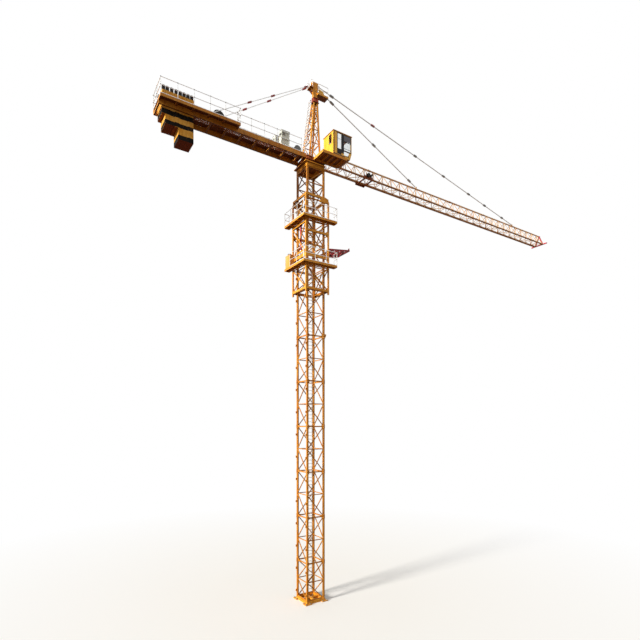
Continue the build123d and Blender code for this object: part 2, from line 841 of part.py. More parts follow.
# The collar closes the top of the lattice.
collar_length = head_top_length + head_leg + 2 * collar_margin
collar_width = head_top_width + head_leg + 2 * collar_margin
with BuildPart() as head_collar:
    block((column_x - collar_length / 2, -collar_width / 2, head_top),
          (column_x + collar_length / 2, collar_width / 2, column_bottom))
finish(head_collar.part, "head_collar")


def fork(plane, foot, eye, rod_width, eye_size, pin_size):
    """Two cheeks with a pin across them, in the open part, from a foot to the eye they hold."""
    cheek_middle = rod_width / 2 + seat_gap + tie_cheek / 2
    for side in (-1, 1):
        with BuildSketch(plane.offset(side * cheek_middle)) as cheek:
            bars([(foot, eye)], 2 * eye_size)
            with Locations(eye):
                Circle(eye_size)
        extrude(cheek.sketch, amount=tie_cheek / 2, both=True)
    with BuildSketch(plane) as pin:
        with Locations(eye):
            Circle(pin_size)
    extrude(pin.sketch, amount=cheek_middle + tie_cheek / 2, both=True)


def tie(plane, start, end, rod_width, coupling_width, eye_size, pin_size, coupling_shares):
    """A taut rod with an eye at each end and thicker couplings along it."""
    across = end[0] - start[0]
    up = end[1] - start[1]
    length = hypot(across, up)
    with BuildPart() as rod:
        with BuildSketch(plane) as line:
            bars([(start, end)], rod_width)
            with Locations(start, end):
                Circle(eye_size)
        extrude(line.sketch, amount=rod_width / 2, both=True)
        with BuildSketch(plane) as couplings:
            for share in coupling_shares:
                half = tie_coupling_length / 2 / length
                bars([((start[0] + across * (share - half), start[1] + up * (share - half)),
                       (start[0] + across * (share + half), start[1] + up * (share + half)))], coupling_width)
        extrude(couplings.sketch, amount=coupling_width / 2, both=True)
        with BuildSketch(plane) as holes:
            with Locations(start, end):
                Circle(pin_size + pin_gap)
        extrude(holes.sketch, amount=rod_width, both=True, mode=Mode.SUBTRACT)
    return rod.part


middle_plane = upright_plane(y=0)
pivot_x = crown_front + tie_pivot_reach
outer_pivot = (pivot_x, crown_top - outer_pivot_drop)
inner_pivot = (pivot_x, crown_top - inner_pivot_drop)
outer_jib_eye = (outer_tie_x, jib_level + jib_height + jib_eye_height)
inner_jib_eye = (inner_tie_x, jib_level + jib_height + jib_eye_height)

# Each counter-jib tie lies in its own upright plane, from the crown out to one beam.
counter_anchor_y = (counter_width - counter_beam_width) / 2
counter_eye_level = frame_top + eye_radius + 2 * deck_plate
counter_pivot_level = crown_top - counter_pivot_drop


def counter_tie_plane(side):
    """The upright plane through one counter-jib tie, measured from its pivot on the crown."""
    pivot = Vector(crown_rear - counter_pivot_reach, side * counter_pivot_y, 0)
    along = Vector(-counter_tie_x, side * counter_anchor_y, 0) - pivot
    return Plane(origin=pivot, x_dir=along, z_dir=along.cross(Vector(0, 0, 1)))


counter_tie_span = hypot(counter_tie_x + crown_rear - counter_pivot_reach, counter_anchor_y - counter_pivot_y)

# The column and crown stand on the collar and hold the upper ends of all ties.
with BuildPart() as head_column:
    block((column_x - column_length / 2, -column_width / 2, column_bottom),
          (column_x + column_length / 2, column_width / 2, crown_top - crown_height))
    block((crown_rear, -column_width / 2, crown_top - crown_height),
          (crown_front, column_width / 2, crown_top))
    for pivot in (outer_pivot, inner_pivot):
        fork(middle_plane, (column_x, pivot[1]), pivot, tie_bar, eye_radius, tie_pin_radius)
    for side in (-1, 1):
        fork(counter_tie_plane(side), (-counter_pivot_reach - crown_length / 2, counter_pivot_level),
             (0, counter_pivot_level), counter_tie_bar, eye_radius, tie_pin_radius)
finish(head_column.part, "head_column")

finish(tie(middle_plane, outer_pivot, outer_jib_eye, tie_bar, tie_coupling, eye_radius, tie_pin_radius,
           (0.05, 0.22, 0.42, 0.57, 0.715, 0.815, 0.93)), "jib_tie_outer")
finish(tie(middle_plane, inner_pivot, inner_jib_eye, tie_bar, tie_coupling, eye_radius, tie_pin_radius,
           (0.12, 0.53, 0.92)), "jib_tie_inner")

with BuildPart() as counter_jib_ties:
    for side in (-1, 1):
        add(tie(counter_tie_plane(side), (0, counter_pivot_level), (counter_tie_span, counter_eye_level),
                counter_tie_bar, counter_tie_coupling, eye_radius, tie_pin_radius, (0.06, 0.4, 0.62)))
finish(counter_jib_ties.part, "counter_jib_ties")

# A small platform with railings stands out from the column towards the jib.
with BuildPart() as head_platform:
    floor_top = crown_top - crown_height - head_platform_drop
    platform_rear = column_x + column_length / 2
    platform_front = platform_rear + head_platform_length
    block((platform_rear, -head_platform_width / 2, floor_top - head_platform_thickness),
          (platform_front, head_platform_width / 2, floor_top))
    side_line = (head_platform_width - railing_bar) / 2
    for side in (-1, 1):
        railing_panel((platform_rear + railing_bar, side * side_line),
                      (platform_front - railing_bar, side * side_line),
                      floor_top, head_railing_height, railing_post_pitch)
finish(head_platform.part, "head_platform")

# The head's ladder leans with its rear side, and stands off it on small brackets.
with BuildPart() as head_ladder:
    shift = head_lean + (head_base_length - head_top_length) / 2
    slope = hypot(shift, head_height)
    ladder_plane = Plane(origin=(-head_base_length / 2 - head_ladder_offset, 0, turntable_top),
                         x_dir=(0, 1, 0), z_dir=Vector(0, 1, 0).cross(Vector(shift, 0, head_height)))
    with BuildSketch(ladder_plane):
        with Locations((0, slope / 2 + rung_pitch / 2)):
            with GridLocations(head_ladder_width, 0, 2, 1):
                Rectangle(ladder_bar, slope)
            with GridLocations(0, rung_pitch, 1, int(slope / rung_pitch)):
                Rectangle(head_ladder_width, ladder_bar)
    extrude(amount=ladder_bar / 2, both=True)
    lean_ratio = shift / head_height
    bar_face = head_bar / 2 * hypot(1, lean_ratio) + ladder_bar / 2 * lean_ratio
    for share in head_panel_tops[:3]:
        level = turntable_top + head_height * share
        line_x = -head_base_length / 2 + shift * share
        for side in (-1, 1):
            middle_y = side * head_ladder_width / 2
            block((line_x - head_ladder_offset, middle_y - ladder_bar / 2, level - ladder_bar / 2),
                  (line_x - bar_face, middle_y + ladder_bar / 2, level + ladder_bar / 2))
finish(head_ladder.part, "head_ladder")

# The jib's panel points are evenly spaced from the root pins to the tip.
first_panel_x = jib_root_x + root_cheek_length
bay_length = (jib_tip_x - first_panel_x) / jib_bays
panel_points = [first_panel_x + number * bay_length for number in range(jib_bays + 1)]


def jib_side(side):
    """A leaning side of the jib: a bottom chord with its runner flange, and the slanted bars."""
    lean = jib_width / 2
    slope = hypot(lean, jib_height)
    reach = (jib_height - jib_top_chord / 2 - jib_bar / 2 * lean / slope) * slope / jib_height
    plane = Plane(origin=(0, side * lean, jib_level), x_dir=(1, 0, 0),
                  z_dir=Vector(1, 0, 0).cross(Vector(0, -side * lean, jib_height)))
    with BuildPart() as jib_lattice:
        with BuildSketch(plane) as web:
            runs = []
            for start_x, end_x in zip(panel_points, panel_points[1:]):
                middle_x = (start_x + end_x) / 2
                runs.append(((start_x, 0), (middle_x, slope)))
                runs.append(((middle_x, slope), (end_x, 0)))
            bars(runs, jib_bar)
            with Locations(((jib_root_x + jib_tip_x) / 2, reach / 2)):
                Rectangle(jib_tip_x - jib_root_x, reach, mode=Mode.INTERSECT)
        extrude(web.sketch, amount=jib_bar / 2, both=True)
        chord_bottom = jib_level - jib_chord / 2
        inner_y = lean - jib_chord / 2
        outer_y = lean + jib_chord / 2
        low_y, high_y = sorted((side * inner_y, side * outer_y))
        block((jib_root_x, low_y, chord_bottom), (jib_tip_x, high_y, jib_level + jib_chord / 2))
        low_y, high_y = sorted((side * outer_y, side * (outer_y + runner_reach)))
        block((runner_start_x, low_y, chord_bottom), (jib_tip_x, high_y, chord_bottom + runner_thickness))
        with BuildSketch(upright_plane(y=side * lean)) as root_hole:
            with Locations((jib_root_x + root_cheek_length / 2, jib_level)):
                Circle(root_pin_radius + pin_gap)
        extrude(root_hole.sketch, amount=jib_chord, both=True, mode=Mode.SUBTRACT)
    return jib_lattice.part


finish(jib_side(-1), "jib_near_side")
finish(jib_side(1), "jib_far_side")

# Bars across and between the bottom chords.
with BuildPart() as jib_bottom_bracing:
    inner_half = (jib_width - jib_chord) / 2
    chord_half = jib_width / 2
    with BuildSketch(Plane.XY.offset(jib_level)):
        bars([((x, -chord_half), (x, chord_half)) for x in panel_points[:-1]], jib_bar)
        for number, (start_x, end_x) in enumerate(zip(panel_points, panel_points[1:])):
            turn = 1 if number % 2 == 0 else -1
            bars([((start_x, -turn * chord_half), (end_x, turn * chord_half))], jib_bar)
        with Locations(((first_panel_x + jib_tip_x) / 2, 0)):
            with GridLocations(0, 2 * inner_half, 1, 2):
                Rectangle(jib_tip_x - first_panel_x, 2 * edge_strip)
            Rectangle(jib_tip_x - first_panel_x, 2 * inner_half, mode=Mode.INTERSECT)
    extrude(amount=jib_bar / 2, both=True)
finish(jib_bottom_bracing.part, "jib_bottom_bracing")

# The top chord carries the forks for the two jib ties.
with BuildPart() as jib_top_chord_bar:
    top_level = jib_level + jib_height
    block((first_panel_x + bay_length / 2 - jib_top_chord, -jib_top_chord / 2, top_level - jib_top_chord / 2),
          (jib_tip_x, jib_top_chord / 2, top_level + jib_top_chord / 2))
    for eye in (inner_jib_eye, outer_jib_eye):
        fork(middle_plane, (eye[0], top_level), eye, tie_bar, eye_radius, tie_pin_radius)
finish(jib_top_chord_bar.part, "jib_top_chord")

# The tip: a transverse beam and a three-cornered frame across the chords' ends.
with BuildPart() as jib_tip_frame:
    with BuildSketch(upright_plane(x=jib_tip_x + tip_beam_size / 2)):
        bars([((-tip_beam_length / 2, jib_level), (tip_beam_length / 2, jib_level))], tip_beam_size)
        bars([((side * jib_width / 2, jib_level), (0, top_level)) for side in (-1, 1)], jib_top_chord)
        with Locations((0, top_level)):
            Rectangle(tip_block_length, jib_top_chord)
    extrude(amount=tip_beam_size / 2, both=True)
finish(jib_tip_frame.part, "jib_tip_frame")

# The counter-jib frame: two long beams, cross bars and the forks of the ties.
frame_front_x = -turntable_size / 2
frame_bottom = frame_top - counter_beam_height
slab_body_half = counter_width / 2 - counter_beam_width - slab_side_gap
bay_front_x = slab_front_x - slab_bay_gap
cross_count = int((bay_front_x + frame_front_x) / counter_cross_pitch)
with BuildPart() as counter_jib_frame:
    with BuildSketch(Plane.XY.offset(frame_bottom)) as beams:
        with Locations(((frame_front_x - counter_length) / 2, 0)):
            with GridLocations(0, counter_width - counter_beam_width, 1, 2):
                Rectangle(counter_length + frame_front_x, counter_beam_width)
    extrude(beams.sketch, amount=counter_beam_height)
    with BuildSketch(Plane.XY.offset(frame_bottom)) as crossings:
        cross_places = [-bay_front_x + counter_cross_bar / 2 + number * counter_cross_pitch
                        for number in range(cross_count + 1)]
        cross_places += [-counter_length + counter_beam_width / 2]
        bars([((x, -counter_width / 2), (x, counter_width / 2)) for x in cross_places], counter_cross_bar)
    extrude(crossings.sketch, amount=counter_cross_bar)
    for side in (-1, 1):
        fork(counter_tie_plane(side), (counter_tie_span, frame_top - eye_radius),
             (counter_tie_span, counter_eye_level), counter_tie_bar, eye_radius, tie_pin_radius)
finish(counter_jib_frame.part, "counter_jib_frame")

# The wide deck has outriggers and an edge rail on the near side, and a rail along the far beam.
near_deck_edge = -counter_width / 2 - wide_deck_near_reach
far_deck_edge = counter_width / 2 + deck_edge_width
wide_deck_length = counter_length - wide_deck_start
wide_middle_x = -(wide_deck_start + counter_length) / 2
with BuildPart() as wide_deck_frame:
    with BuildSketch(Plane.XY.offset(frame_top - outrigger_height)) as outriggers:
        outrigger_count = round(wide_deck_length / counter_cross_pitch)
        spacing = (wide_deck_length - counter_cross_bar) / outrigger_count
        for number in range(outrigger_count + 1):
            x = -wide_deck_start - counter_cross_bar / 2 - number * spacing
            bars([((x, -counter_width / 2), (x, near_deck_edge))], counter_cross_bar)
    extrude(outriggers.sketch, amount=outrigger_height)
    with BuildSketch(Plane.XY.offset(frame_top - deck_edge_height)) as edges:
        for edge_y in (near_deck_edge + deck_edge_width / 2, far_deck_edge - deck_edge_width / 2):
            with Locations((wide_middle_x, edge_y)):
                Rectangle(wide_deck_length, deck_edge_width)
    extrude(edges.sketch, amount=deck_edge_height)
finish(wide_deck_frame.part, "wide_deck_frame")

# The deck is open over the counterweights, round the forks of the ties and under its grating.
grating_length = bay_front_x - counter_cross_bar - grating_front_x
grating_middle_x = -(grating_front_x + grating_length / 2)
with BuildPart() as counter_jib_deck:
    with BuildSketch(Plane.XY.offset(frame_top)):
        with Locations(((frame_front_x - wide_deck_start) / 2, 0)):
            Rectangle(wide_deck_start + frame_front_x, counter_width)
        with Locations((wide_middle_x, (near_deck_edge + far_deck_edge) / 2)):
            Rectangle(wide_deck_length, far_deck_edge - near_deck_edge)
        with Locations((-(bay_front_x + counter_length - counter_beam_width) / 2, 0)):
            Rectangle(counter_length - counter_beam_width - bay_front_x, counter_width, mode=Mode.SUBTRACT)
        with Locations((-counter_tie_x, 0)):
            with GridLocations(0, 2 * counter_anchor_y, 1, 2):
                Rectangle(4 * eye_radius, 2 * eye_radius + 2 * running_gap, mode=Mode.SUBTRACT)
        with Locations((grating_middle_x, 0)):
            Rectangle(grating_length, grating_width, mode=Mode.SUBTRACT)
    extrude(amount=deck_plate)
finish(counter_jib_deck.part, "counter_jib_deck")

# A strip of grating lies in the middle of the deck.
with BuildPart() as deck_grating:
    with BuildSketch(Plane.XY.offset(frame_top)):
        with Locations((grating_middle_x, 0)):
            Rectangle(grating_length - 2 * seat_gap, grating_width - 2 * seat_gap)
    extrude(amount=deck_plate)
finish(deck_grating.part, "deck_grating")

# Railings along every free edge of the deck, up to the foot of the head's ladder.
with BuildPart() as counter_jib_railings:
    near_line = near_deck_edge + railing_bar / 2
    far_line = far_deck_edge - railing_bar / 2
    narrow_line = (counter_width - railing_bar) / 2
    corner_step = railing_bar + rail_gap
    rear_x = -counter_length + railing_bar / 2
    step_x = -wide_deck_start - railing_bar / 2
    front_x = -head_base_length / 2 - head_ladder_offset - ladder_clearance
    for start, end in (((rear_x, near_line), (step_x, near_line)),
                       ((step_x, near_line + corner_step), (step_x, -narrow_line - corner_step)),
                       ((step_x + corner_step, -narrow_line), (front_x, -narrow_line)),
                       ((rear_x, far_line), (step_x, far_line)),
                       ((step_x + corner_step, narrow_line), (front_x, narrow_line)),
                       ((rear_x, near_line + corner_step), (rear_x, far_line - corner_step))):
        railing_panel(start, end, deck_top, counter_railing_height, counter_railing_pitch)
finish(counter_jib_railings.part, "counter_jib_railings")


def counterweight(front_x, count, thickness, depth):
    """One stack of hanging slabs: each hangs between the beams by its wide shoulders."""
    with BuildPart() as stack:
        for number in range(count):
            middle_x = -front_x - number * (thickness + slab_gap) - thickness / 2
            with BuildSketch(Plane.YZ.offset(middle_x)) as slab:
                body_height = counter_beam_height + depth
                with Locations((0, frame_top - body_height / 2)):
                    Rectangle(2 * slab_body_half, body_height)
                with Locations((0, frame_top + slab_rise / 2)):
                    Rectangle(2 * (slab_body_half + slab_shoulder), slab_rise)
            extrude(slab.sketch, amount=thickness / 2, both=True)
    return stack.part


# The stacks go from the rear, shallow one to the front, deep one.
stack_names = ("counterweight_rear", "counterweight_middle", "counterweight_front")
eye_places = []
next_front = slab_front_x
for stack_name, (count, thickness, depth) in zip(reversed(stack_names), reversed(slab_stacks)):
    finish(counterweight(next_front, count, thickness, depth), stack_name)
    for number in range(count):
        eye_places.append(-next_front - number * (thickness + slab_gap) - thickness / 2)
    next_front += count * (thickness + slab_gap)

# Lifting eyes stand on the slabs in two rows.
with BuildPart() as lifting_eyes:
    with BuildSketch(Plane.XY.offset(frame_top + slab_rise)):
        eye_line = slab_body_half + slab_shoulder - lifting_eye_inset
        for x in eye_places:
            with Locations((x, -eye_line), (x, eye_line)):
                Rectangle(lifting_eye_size, lifting_eye_size)
    extrude(amount=lifting_eye_height)
finish(lifting_eyes.part, "lifting_eyes")

# The hoist winch: a flanged drum between two side plates.
with BuildPart() as hoist_winch:
    shaft_level = deck_top + winch_shaft_height
    for side in (-1, 1):
        low_y, high_y = sorted((side * (winch_width / 2 - winch_plate), side * winch_width / 2))
        block((-winch_x - winch_length / 2, low_y, deck_top),
              (-winch_x + winch_length / 2, high_y, shaft_level))
    with BuildSketch(upright_plane(y=0)) as drum:
        with Locations((-winch_x, shaft_level)):
            Circle(winch_drum_radius)
    extrude(drum.sketch, amount=winch_width / 2, both=True)
    for side in (-1, 1):
        with BuildSketch(upright_plane(y=side * (winch_width / 2 - 2 * winch_plate))) as flange:
            with Locations((-winch_x, shaft_level)):
                Circle(winch_flange_radius)
        extrude(flange.sketch, amount=winch_plate / 2, both=True)
finish(hoist_winch.part, "hoist_winch")

# Two electrical cabinets and a rounded machine hood stand on the deck near the head.
with BuildPart() as control_cabinets:
    cabinet_side = narrow_line - railing_bar - running_gap
    block((-cabinet_x - cabinet_length / 2, -cabinet_side, deck_top),
          (-cabinet_x + cabinet_length / 2, -cabinet_side + cabinet_depth, deck_top + cabinet_height))
    block((-second_cabinet_x - second_cabinet_length / 2, cabinet_side - cabinet_depth, deck_top),
          (-second_cabinet_x + second_cabinet_length / 2, cabinet_side, deck_top + cabinet_height))
finish(control_cabinets.part, "control_cabinets")

with BuildPart() as machine_hood:
    with BuildSketch(upright_plane(y=-cabinet_side + hood_width / 2)):
        with Locations((-hood_x, deck_top + hood_height / 2)):
            Rectangle(hood_length, hood_height)
        with Locations((-hood_x, deck_top + hood_height)):
            Circle(hood_length / 2)
        with Locations((-hood_x, deck_top - hood_length / 2)):
            Rectangle(hood_length, hood_length, mode=Mode.SUBTRACT)
    extrude(amount=hood_width / 2, both=True)
finish(machine_hood.part, "machine_hood")

# The cab platform hangs on the near side of the turntable.
cab_floor = turntable_top - cab_platform_drop
with BuildPart() as cab_platform:
    near_edge = -turntable_size / 2 - cab_platform_width
    far_edge = -turntable_size / 2
    block((-cab_platform_start, near_edge, cab_floor - cab_floor_plate),
          (cab_platform_end, far_edge, cab_floor))
    with BuildSketch(Plane.XY.offset(cab_floor - cab_platform_height)):
        platform_length = cab_platform_start + cab_platform_end
        with Locations(((cab_platform_end - cab_platform_start) / 2, (near_edge + far_edge) / 2)):
            Rectangle(platform_length, cab_platform_width)
            Rectangle(platform_length - 2 * deck_edge_width, cab_platform_width - 2 * deck_edge_width,
                      mode=Mode.SUBTRACT)
            with GridLocations(cab_platform_rib_pitch, 0, int(platform_length / cab_platform_rib_pitch), 1):
                Rectangle(platform_edge_width, cab_platform_width)
    extrude(amount=cab_platform_height - cab_floor_plate)
finish(cab_platform.part, "cab_platform")

# The cab: a shell open at the top, with its windows cut through, under a separate roof.
cab_front_x = cab_rear_x + cab_length
cab_near_y = -cab_side_y - cab_width
cab_far_y = -cab_side_y
cab_top = cab_floor + cab_height
near_inner_y = cab_near_y + cab_wall
main_sill = cab_floor + cab_rake_height + main_pane_rise
window_top = cab_top - cab_head_rail
windows = [
    ((cab_rear_x + door_pane_start, cab_near_y, cab_floor + door_pane_sill),
     (cab_rear_x + door_pane_end, near_inner_y, window_top)),
    ((cab_rear_x + main_pane_start, cab_near_y, main_sill),
     (cab_front_x - cab_post, near_inner_y, window_top)),
    ((cab_rear_x + main_pane_start, cab_near_y, cab_floor + door_pane_sill),
     (cab_front_x - cab_rake_length - cab_post, near_inner_y, main_sill - lower_pane_gap)),
    ((cab_rear_x + far_pane_start, cab_far_y - cab_wall, cab_floor + far_pane_sill),
     (cab_front_x - far_pane_end, cab_far_y, window_top)),
    ((cab_front_x - cab_wall, cab_near_y + cab_post, main_sill),
     (cab_front_x, cab_far_y - cab_post, window_top)),
    ((cab_rear_x, cab_near_y + rear_pane_start, cab_floor + rear_pane_sill),
     (cab_rear_x + cab_wall, cab_near_y + rear_pane_end, cab_top - rear_pane_drop)),
]
with BuildPart() as cab_shell:
    with BuildSketch(upright_plane(y=cab_near_y + cab_width / 2)) as cab_outline:
        with BuildLine():
            Polyline((cab_rear_x, cab_floor), (cab_front_x - cab_rake_length, cab_floor),
                     (cab_front_x, cab_floor + cab_rake_height), (cab_front_x, cab_top),
                     (cab_rear_x, cab_top), close=True)
        make_face()
    extrude(cab_outline.sketch, amount=cab_width / 2, both=True)
    with BuildSketch(upright_plane(y=cab_near_y + cab_width / 2)) as cab_room:
        add(cab_outline.sketch)
        offset(amount=-cab_wall, mode=Mode.REPLACE)
    extrude(cab_room.sketch, amount=cab_width / 2 - cab_wall, both=True, mode=Mode.SUBTRACT)
    block((cab_rear_x + cab_wall, cab_near_y + cab_wall, cab_top - 2 * cab_wall),
          (cab_front_x - cab_wall, cab_far_y - cab_wall, cab_top), mode=Mode.SUBTRACT)
    for low, high in windows:
        block(low, high, mode=Mode.SUBTRACT)
finish(cab_shell.part, "cab_shell")

with BuildPart() as cab_roof:
    block((cab_rear_x - cab_roof_overhang, cab_near_y - cab_roof_overhang, cab_top),
          (cab_front_x + cab_roof_overhang, cab_far_y + cab_roof_overhang, cab_top + cab_roof_thickness))
finish(cab_roof.part, "cab_roof")

with BuildPart() as cab_windows:
    for low, high in windows:
        pane_low = []
        pane_high = []
        for axis in range(3):
            inset = seat_gap
            if high[axis] - low[axis] == cab_wall:
                inset = (cab_wall - cab_glass) / 2
            pane_low.append(low[axis] + inset)
            pane_high.append(high[axis] - inset)
        block(pane_low, pane_high)
finish(cab_windows.part, "cab_windows")

# The trolley runs on the flanges of the bottom chords.
chord_face = (jib_width + jib_chord) / 2
chord_bottom = jib_level - jib_chord / 2
wheel_level = chord_bottom + runner_thickness + wheel_radius + seat_gap
wheel_y = chord_face + running_gap + wheel_width / 2
cheek_inner_y = chord_face + runner_reach + running_gap
cheek_outer_y = cheek_inner_y + trolley_cheek
cheek_low = chord_bottom - trolley_cheek_bottom - trolley_beam
with BuildPart() as trolley_frame:
    for side in (-1, 1):
        low_y, high_y = sorted((side * cheek_inner_y, side * cheek_outer_y))
        block((trolley_x - trolley_length / 2, low_y, cheek_low),
              (trolley_x + trolley_length / 2, high_y, wheel_level + wheel_radius))
        for end in (-1, 1):
            axle_start = side * (wheel_y - wheel_width / 2)
            with BuildSketch(Plane.XZ.offset(-axle_start)) as axle:
                with Locations((trolley_x + end * wheel_base / 2, wheel_level)):
                    Circle(axle_radius)
            extrude(axle.sketch, amount=-side * (cheek_outer_y - wheel_y + wheel_width / 2))
    reel_plate_top = wheel_level + reel_rise + reel_radius
    block((trolley_x + reel_offset - reel_radius, -cheek_outer_y, cheek_low),
          (trolley_x + small_reel_offset + small_reel_radius, -cheek_inner_y, reel_plate_top))
    for end in (-1, 1):
        beam_x = trolley_x + end * wheel_base / 2
        block((beam_x - trolley_beam / 2, -cheek_inner_y, cheek_low),
              (beam_x + trolley_beam / 2, cheek_inner_y, cheek_low + trolley_beam))
finish(trolley_frame.part, "trolley_frame")

with BuildPart() as trolley_wheels:
    for side in (-1, 1):
        with BuildSketch(upright_plane(y=side * wheel_y)) as wheels:
            with Locations((trolley_x - wheel_base / 2, wheel_level),
                           (trolley_x + wheel_base / 2, wheel_level)):
                Circle(wheel_radius)
                Circle(axle_radius + pin_gap, mode=Mode.SUBTRACT)
        extrude(wheels.sketch, amount=wheel_width / 2, both=True)
finish(trolley_wheels.part, "trolley_wheels")

# Two reels for the trolley's ropes sit on the outer face of the near cheek.
with BuildPart() as trolley_reels:
    reels = ((reel_radius, reel_offset, reel_rise), (small_reel_radius, small_reel_offset, small_reel_rise))
    with BuildSketch(upright_plane(y=-cheek_outer_y)):
        for radius, offset_x, rise in reels:
            with Locations((trolley_x + offset_x, wheel_level + rise)):
                Circle(radius)
    extrude(amount=reel_width)
finish(trolley_reels.part, "trolley_reels")
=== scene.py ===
# %% [markdown]
# A tower crane as a half-size model, dressed for looking at. The construction comes in finished, as one
# mesh for each piece, and this script never moves it. What follows adds paint, wear and the small steel
# parts that a drawing office leaves out, then sets the floor, the light and the camera.

# %% Load the frame
from math import pi, radians, sqrt

import bpy
import bmesh
import numpy as np
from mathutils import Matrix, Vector


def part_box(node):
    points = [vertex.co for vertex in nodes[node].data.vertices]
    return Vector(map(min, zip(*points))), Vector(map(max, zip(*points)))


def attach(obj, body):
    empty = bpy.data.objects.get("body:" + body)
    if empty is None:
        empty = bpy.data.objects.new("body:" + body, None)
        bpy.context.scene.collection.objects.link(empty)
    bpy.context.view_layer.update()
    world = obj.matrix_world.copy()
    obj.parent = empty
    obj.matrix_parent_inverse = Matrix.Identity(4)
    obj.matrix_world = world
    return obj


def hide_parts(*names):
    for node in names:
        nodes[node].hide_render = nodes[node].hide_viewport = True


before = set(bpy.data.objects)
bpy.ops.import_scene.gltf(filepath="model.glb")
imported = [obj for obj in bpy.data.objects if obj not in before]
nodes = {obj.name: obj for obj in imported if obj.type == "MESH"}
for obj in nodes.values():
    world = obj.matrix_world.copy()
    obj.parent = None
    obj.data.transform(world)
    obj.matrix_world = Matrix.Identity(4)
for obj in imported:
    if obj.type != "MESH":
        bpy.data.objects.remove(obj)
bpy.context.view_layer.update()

# %% [markdown]
# The camera stands low and far back, level, and sees the crane through the upper part of its lens. A
# photographer would raise the lens for this, and the camera's shift does the same, so upright lines stay
# upright. The focal length and the place were fitted to the even spacing of the mast's section joints.

# %% Camera
picture_width = 640
focal_pixels = 450
horizon_pixel = 422.7
sensor_width = 36
camera_place = (-10.060, -16.359, 7.535)
camera_turn = radians(-32.8)

camera_data = bpy.data.cameras.new("camera")
camera_data.sensor_width = sensor_width
camera_data.lens = focal_pixels / picture_width * sensor_width
camera_data.shift_y = (horizon_pixel - picture_width / 2) / picture_width
camera_data.clip_end = 400
camera = bpy.data.objects.new("camera", camera_data)
camera.location = camera_place
camera.rotation_euler = (pi / 2, 0, camera_turn)
bpy.context.collection.objects.link(camera)
bpy.context.scene.camera = camera
bpy.context.scene.view_settings.view_transform = "Standard"
print("lens", round(camera_data.lens, 2), "mm, shift", round(camera_data.shift_y, 4))

# %% [markdown]
# Two helpers serve every material. A colour is picked as an sRGB hex value, the way a paint chart gives
# it, and one function turns it into the linear numbers that the renderer adds up. Another small function
# adds a node, sets its values and joins its inputs, so that each material reads as a list of steps.


# %% Colours and nodes
def linear(hex_colour):
    """Linear RGBA from sRGB hex: each channel is ((c + 0.055) / 1.055) ** 2.4, or c / 12.92 if dark."""
    channels = np.array([int(hex_colour[place:place + 2], 16) for place in (1, 3, 5)]) / 255
    bent = np.where(channels > 0.04045, ((channels + 0.055) / 1.055) ** 2.4, channels / 12.92)
    return (*bent.tolist(), 1.0)


def add_node(tree, kind, settings=None, inputs=None):
    """Adds one node: settings are its properties, inputs its values, or an output socket to link from."""
    node = tree.nodes.new("ShaderNode" + kind)
    for name, value in (settings or {}).items():
        setattr(node, name, value)
    for name, value in (inputs or {}).items():
        if isinstance(value, bpy.types.NodeSocket):
            tree.links.new(value, node.inputs[name])
        else:
            node.inputs[name].default_value = value
    return node


def colour_ramp(tree, factor, stops):
    """A colour ramp through (place, hex) stops, read at a factor socket."""
    ramp = add_node(tree, "ValToRGB", inputs={"Fac": factor})
    while len(ramp.color_ramp.elements) < len(stops):
        ramp.color_ramp.elements.new(0.5)
    for element, (place, hex_colour) in zip(ramp.color_ramp.elements, stops):
        element.position = place
        element.color = linear(hex_colour)
    return ramp.outputs["Color"]


def blank_material(name):
    """A material with an empty tree, its output, and the object coordinates that patterns are laid on."""
    material = bpy.data.materials.new(name)
    material.use_nodes = True
    tree = material.node_tree
    tree.nodes.clear()
    place = add_node(tree, "TexCoord").outputs["Object"]
    return material, tree, place


def noise(tree, place, feature_mm, detail=3.0, stretch=(1, 1, 1)):
    """Noise whose blotches are about feature_mm wide; stretch makes them longer along an axis."""
    scaled = add_node(tree, "Mapping", inputs={
        "Vector": place, "Scale": tuple(1 / share for share in stretch)})
    return add_node(tree, "TexNoise", inputs={
        "Vector": scaled.outputs["Vector"], "Scale": 1000 / feature_mm, "Detail": detail}).outputs["Fac"]


def between(tree, value, low, high, new_low=0.0, new_high=1.0):
    """A value carried evenly from one range to another, and held at the ends."""
    return add_node(tree, "MapRange", inputs={
        "Value": value, "From Min": low, "From Max": high,
        "To Min": new_low, "To Max": new_high}).outputs["Result"]


def mix_colour(tree, factor, first, second):
    """Two colours mixed by a factor; each may be a hex value or a socket."""
    colours = [linear(colour) if isinstance(colour, str) else colour for colour in (first, second)]
    node = add_node(tree, "Mix", {"data_type": "RGBA"})
    for socket, value in zip((node.inputs[0], node.inputs[6], node.inputs[7]), (factor, *colours)):
        if isinstance(value, bpy.types.NodeSocket):
            tree.links.new(value, socket)
        else:
            socket.default_value = value
    return node.outputs[2]


def arithmetic(tree, operation, *values):
    """One sum, product, greatest value or whole part of the given values."""
    return add_node(tree, "Math", {"operation": operation}, dict(enumerate(values))).outputs[0]


def bumped(tree, place, strength, distance, feature_mm, detail=3):
    """A surface normal tilted by fine noise."""
    return add_node(tree, "Bump", inputs={
        "Strength": strength, "Distance": distance,
        "Height": noise(tree, place, feature_mm, detail)}).outputs["Normal"]


def painted_underside_shade(tree, most):
    """Share of painted shade: none on walls and upward faces, up to the given share on faces that look down.
    """
    normal = add_node(tree, "NewGeometry").outputs["True Normal"]
    upwards = add_node(tree, "SeparateXYZ", inputs={"Vector": normal}).outputs["Z"]
    return between(tree, upwards, -0.35, -0.75, 0.0, most)


def close_material(tree, shader):
    """Joins a finished shader to the material's output."""
    add_node(tree, "OutputMaterial", inputs={"Surface": shader})


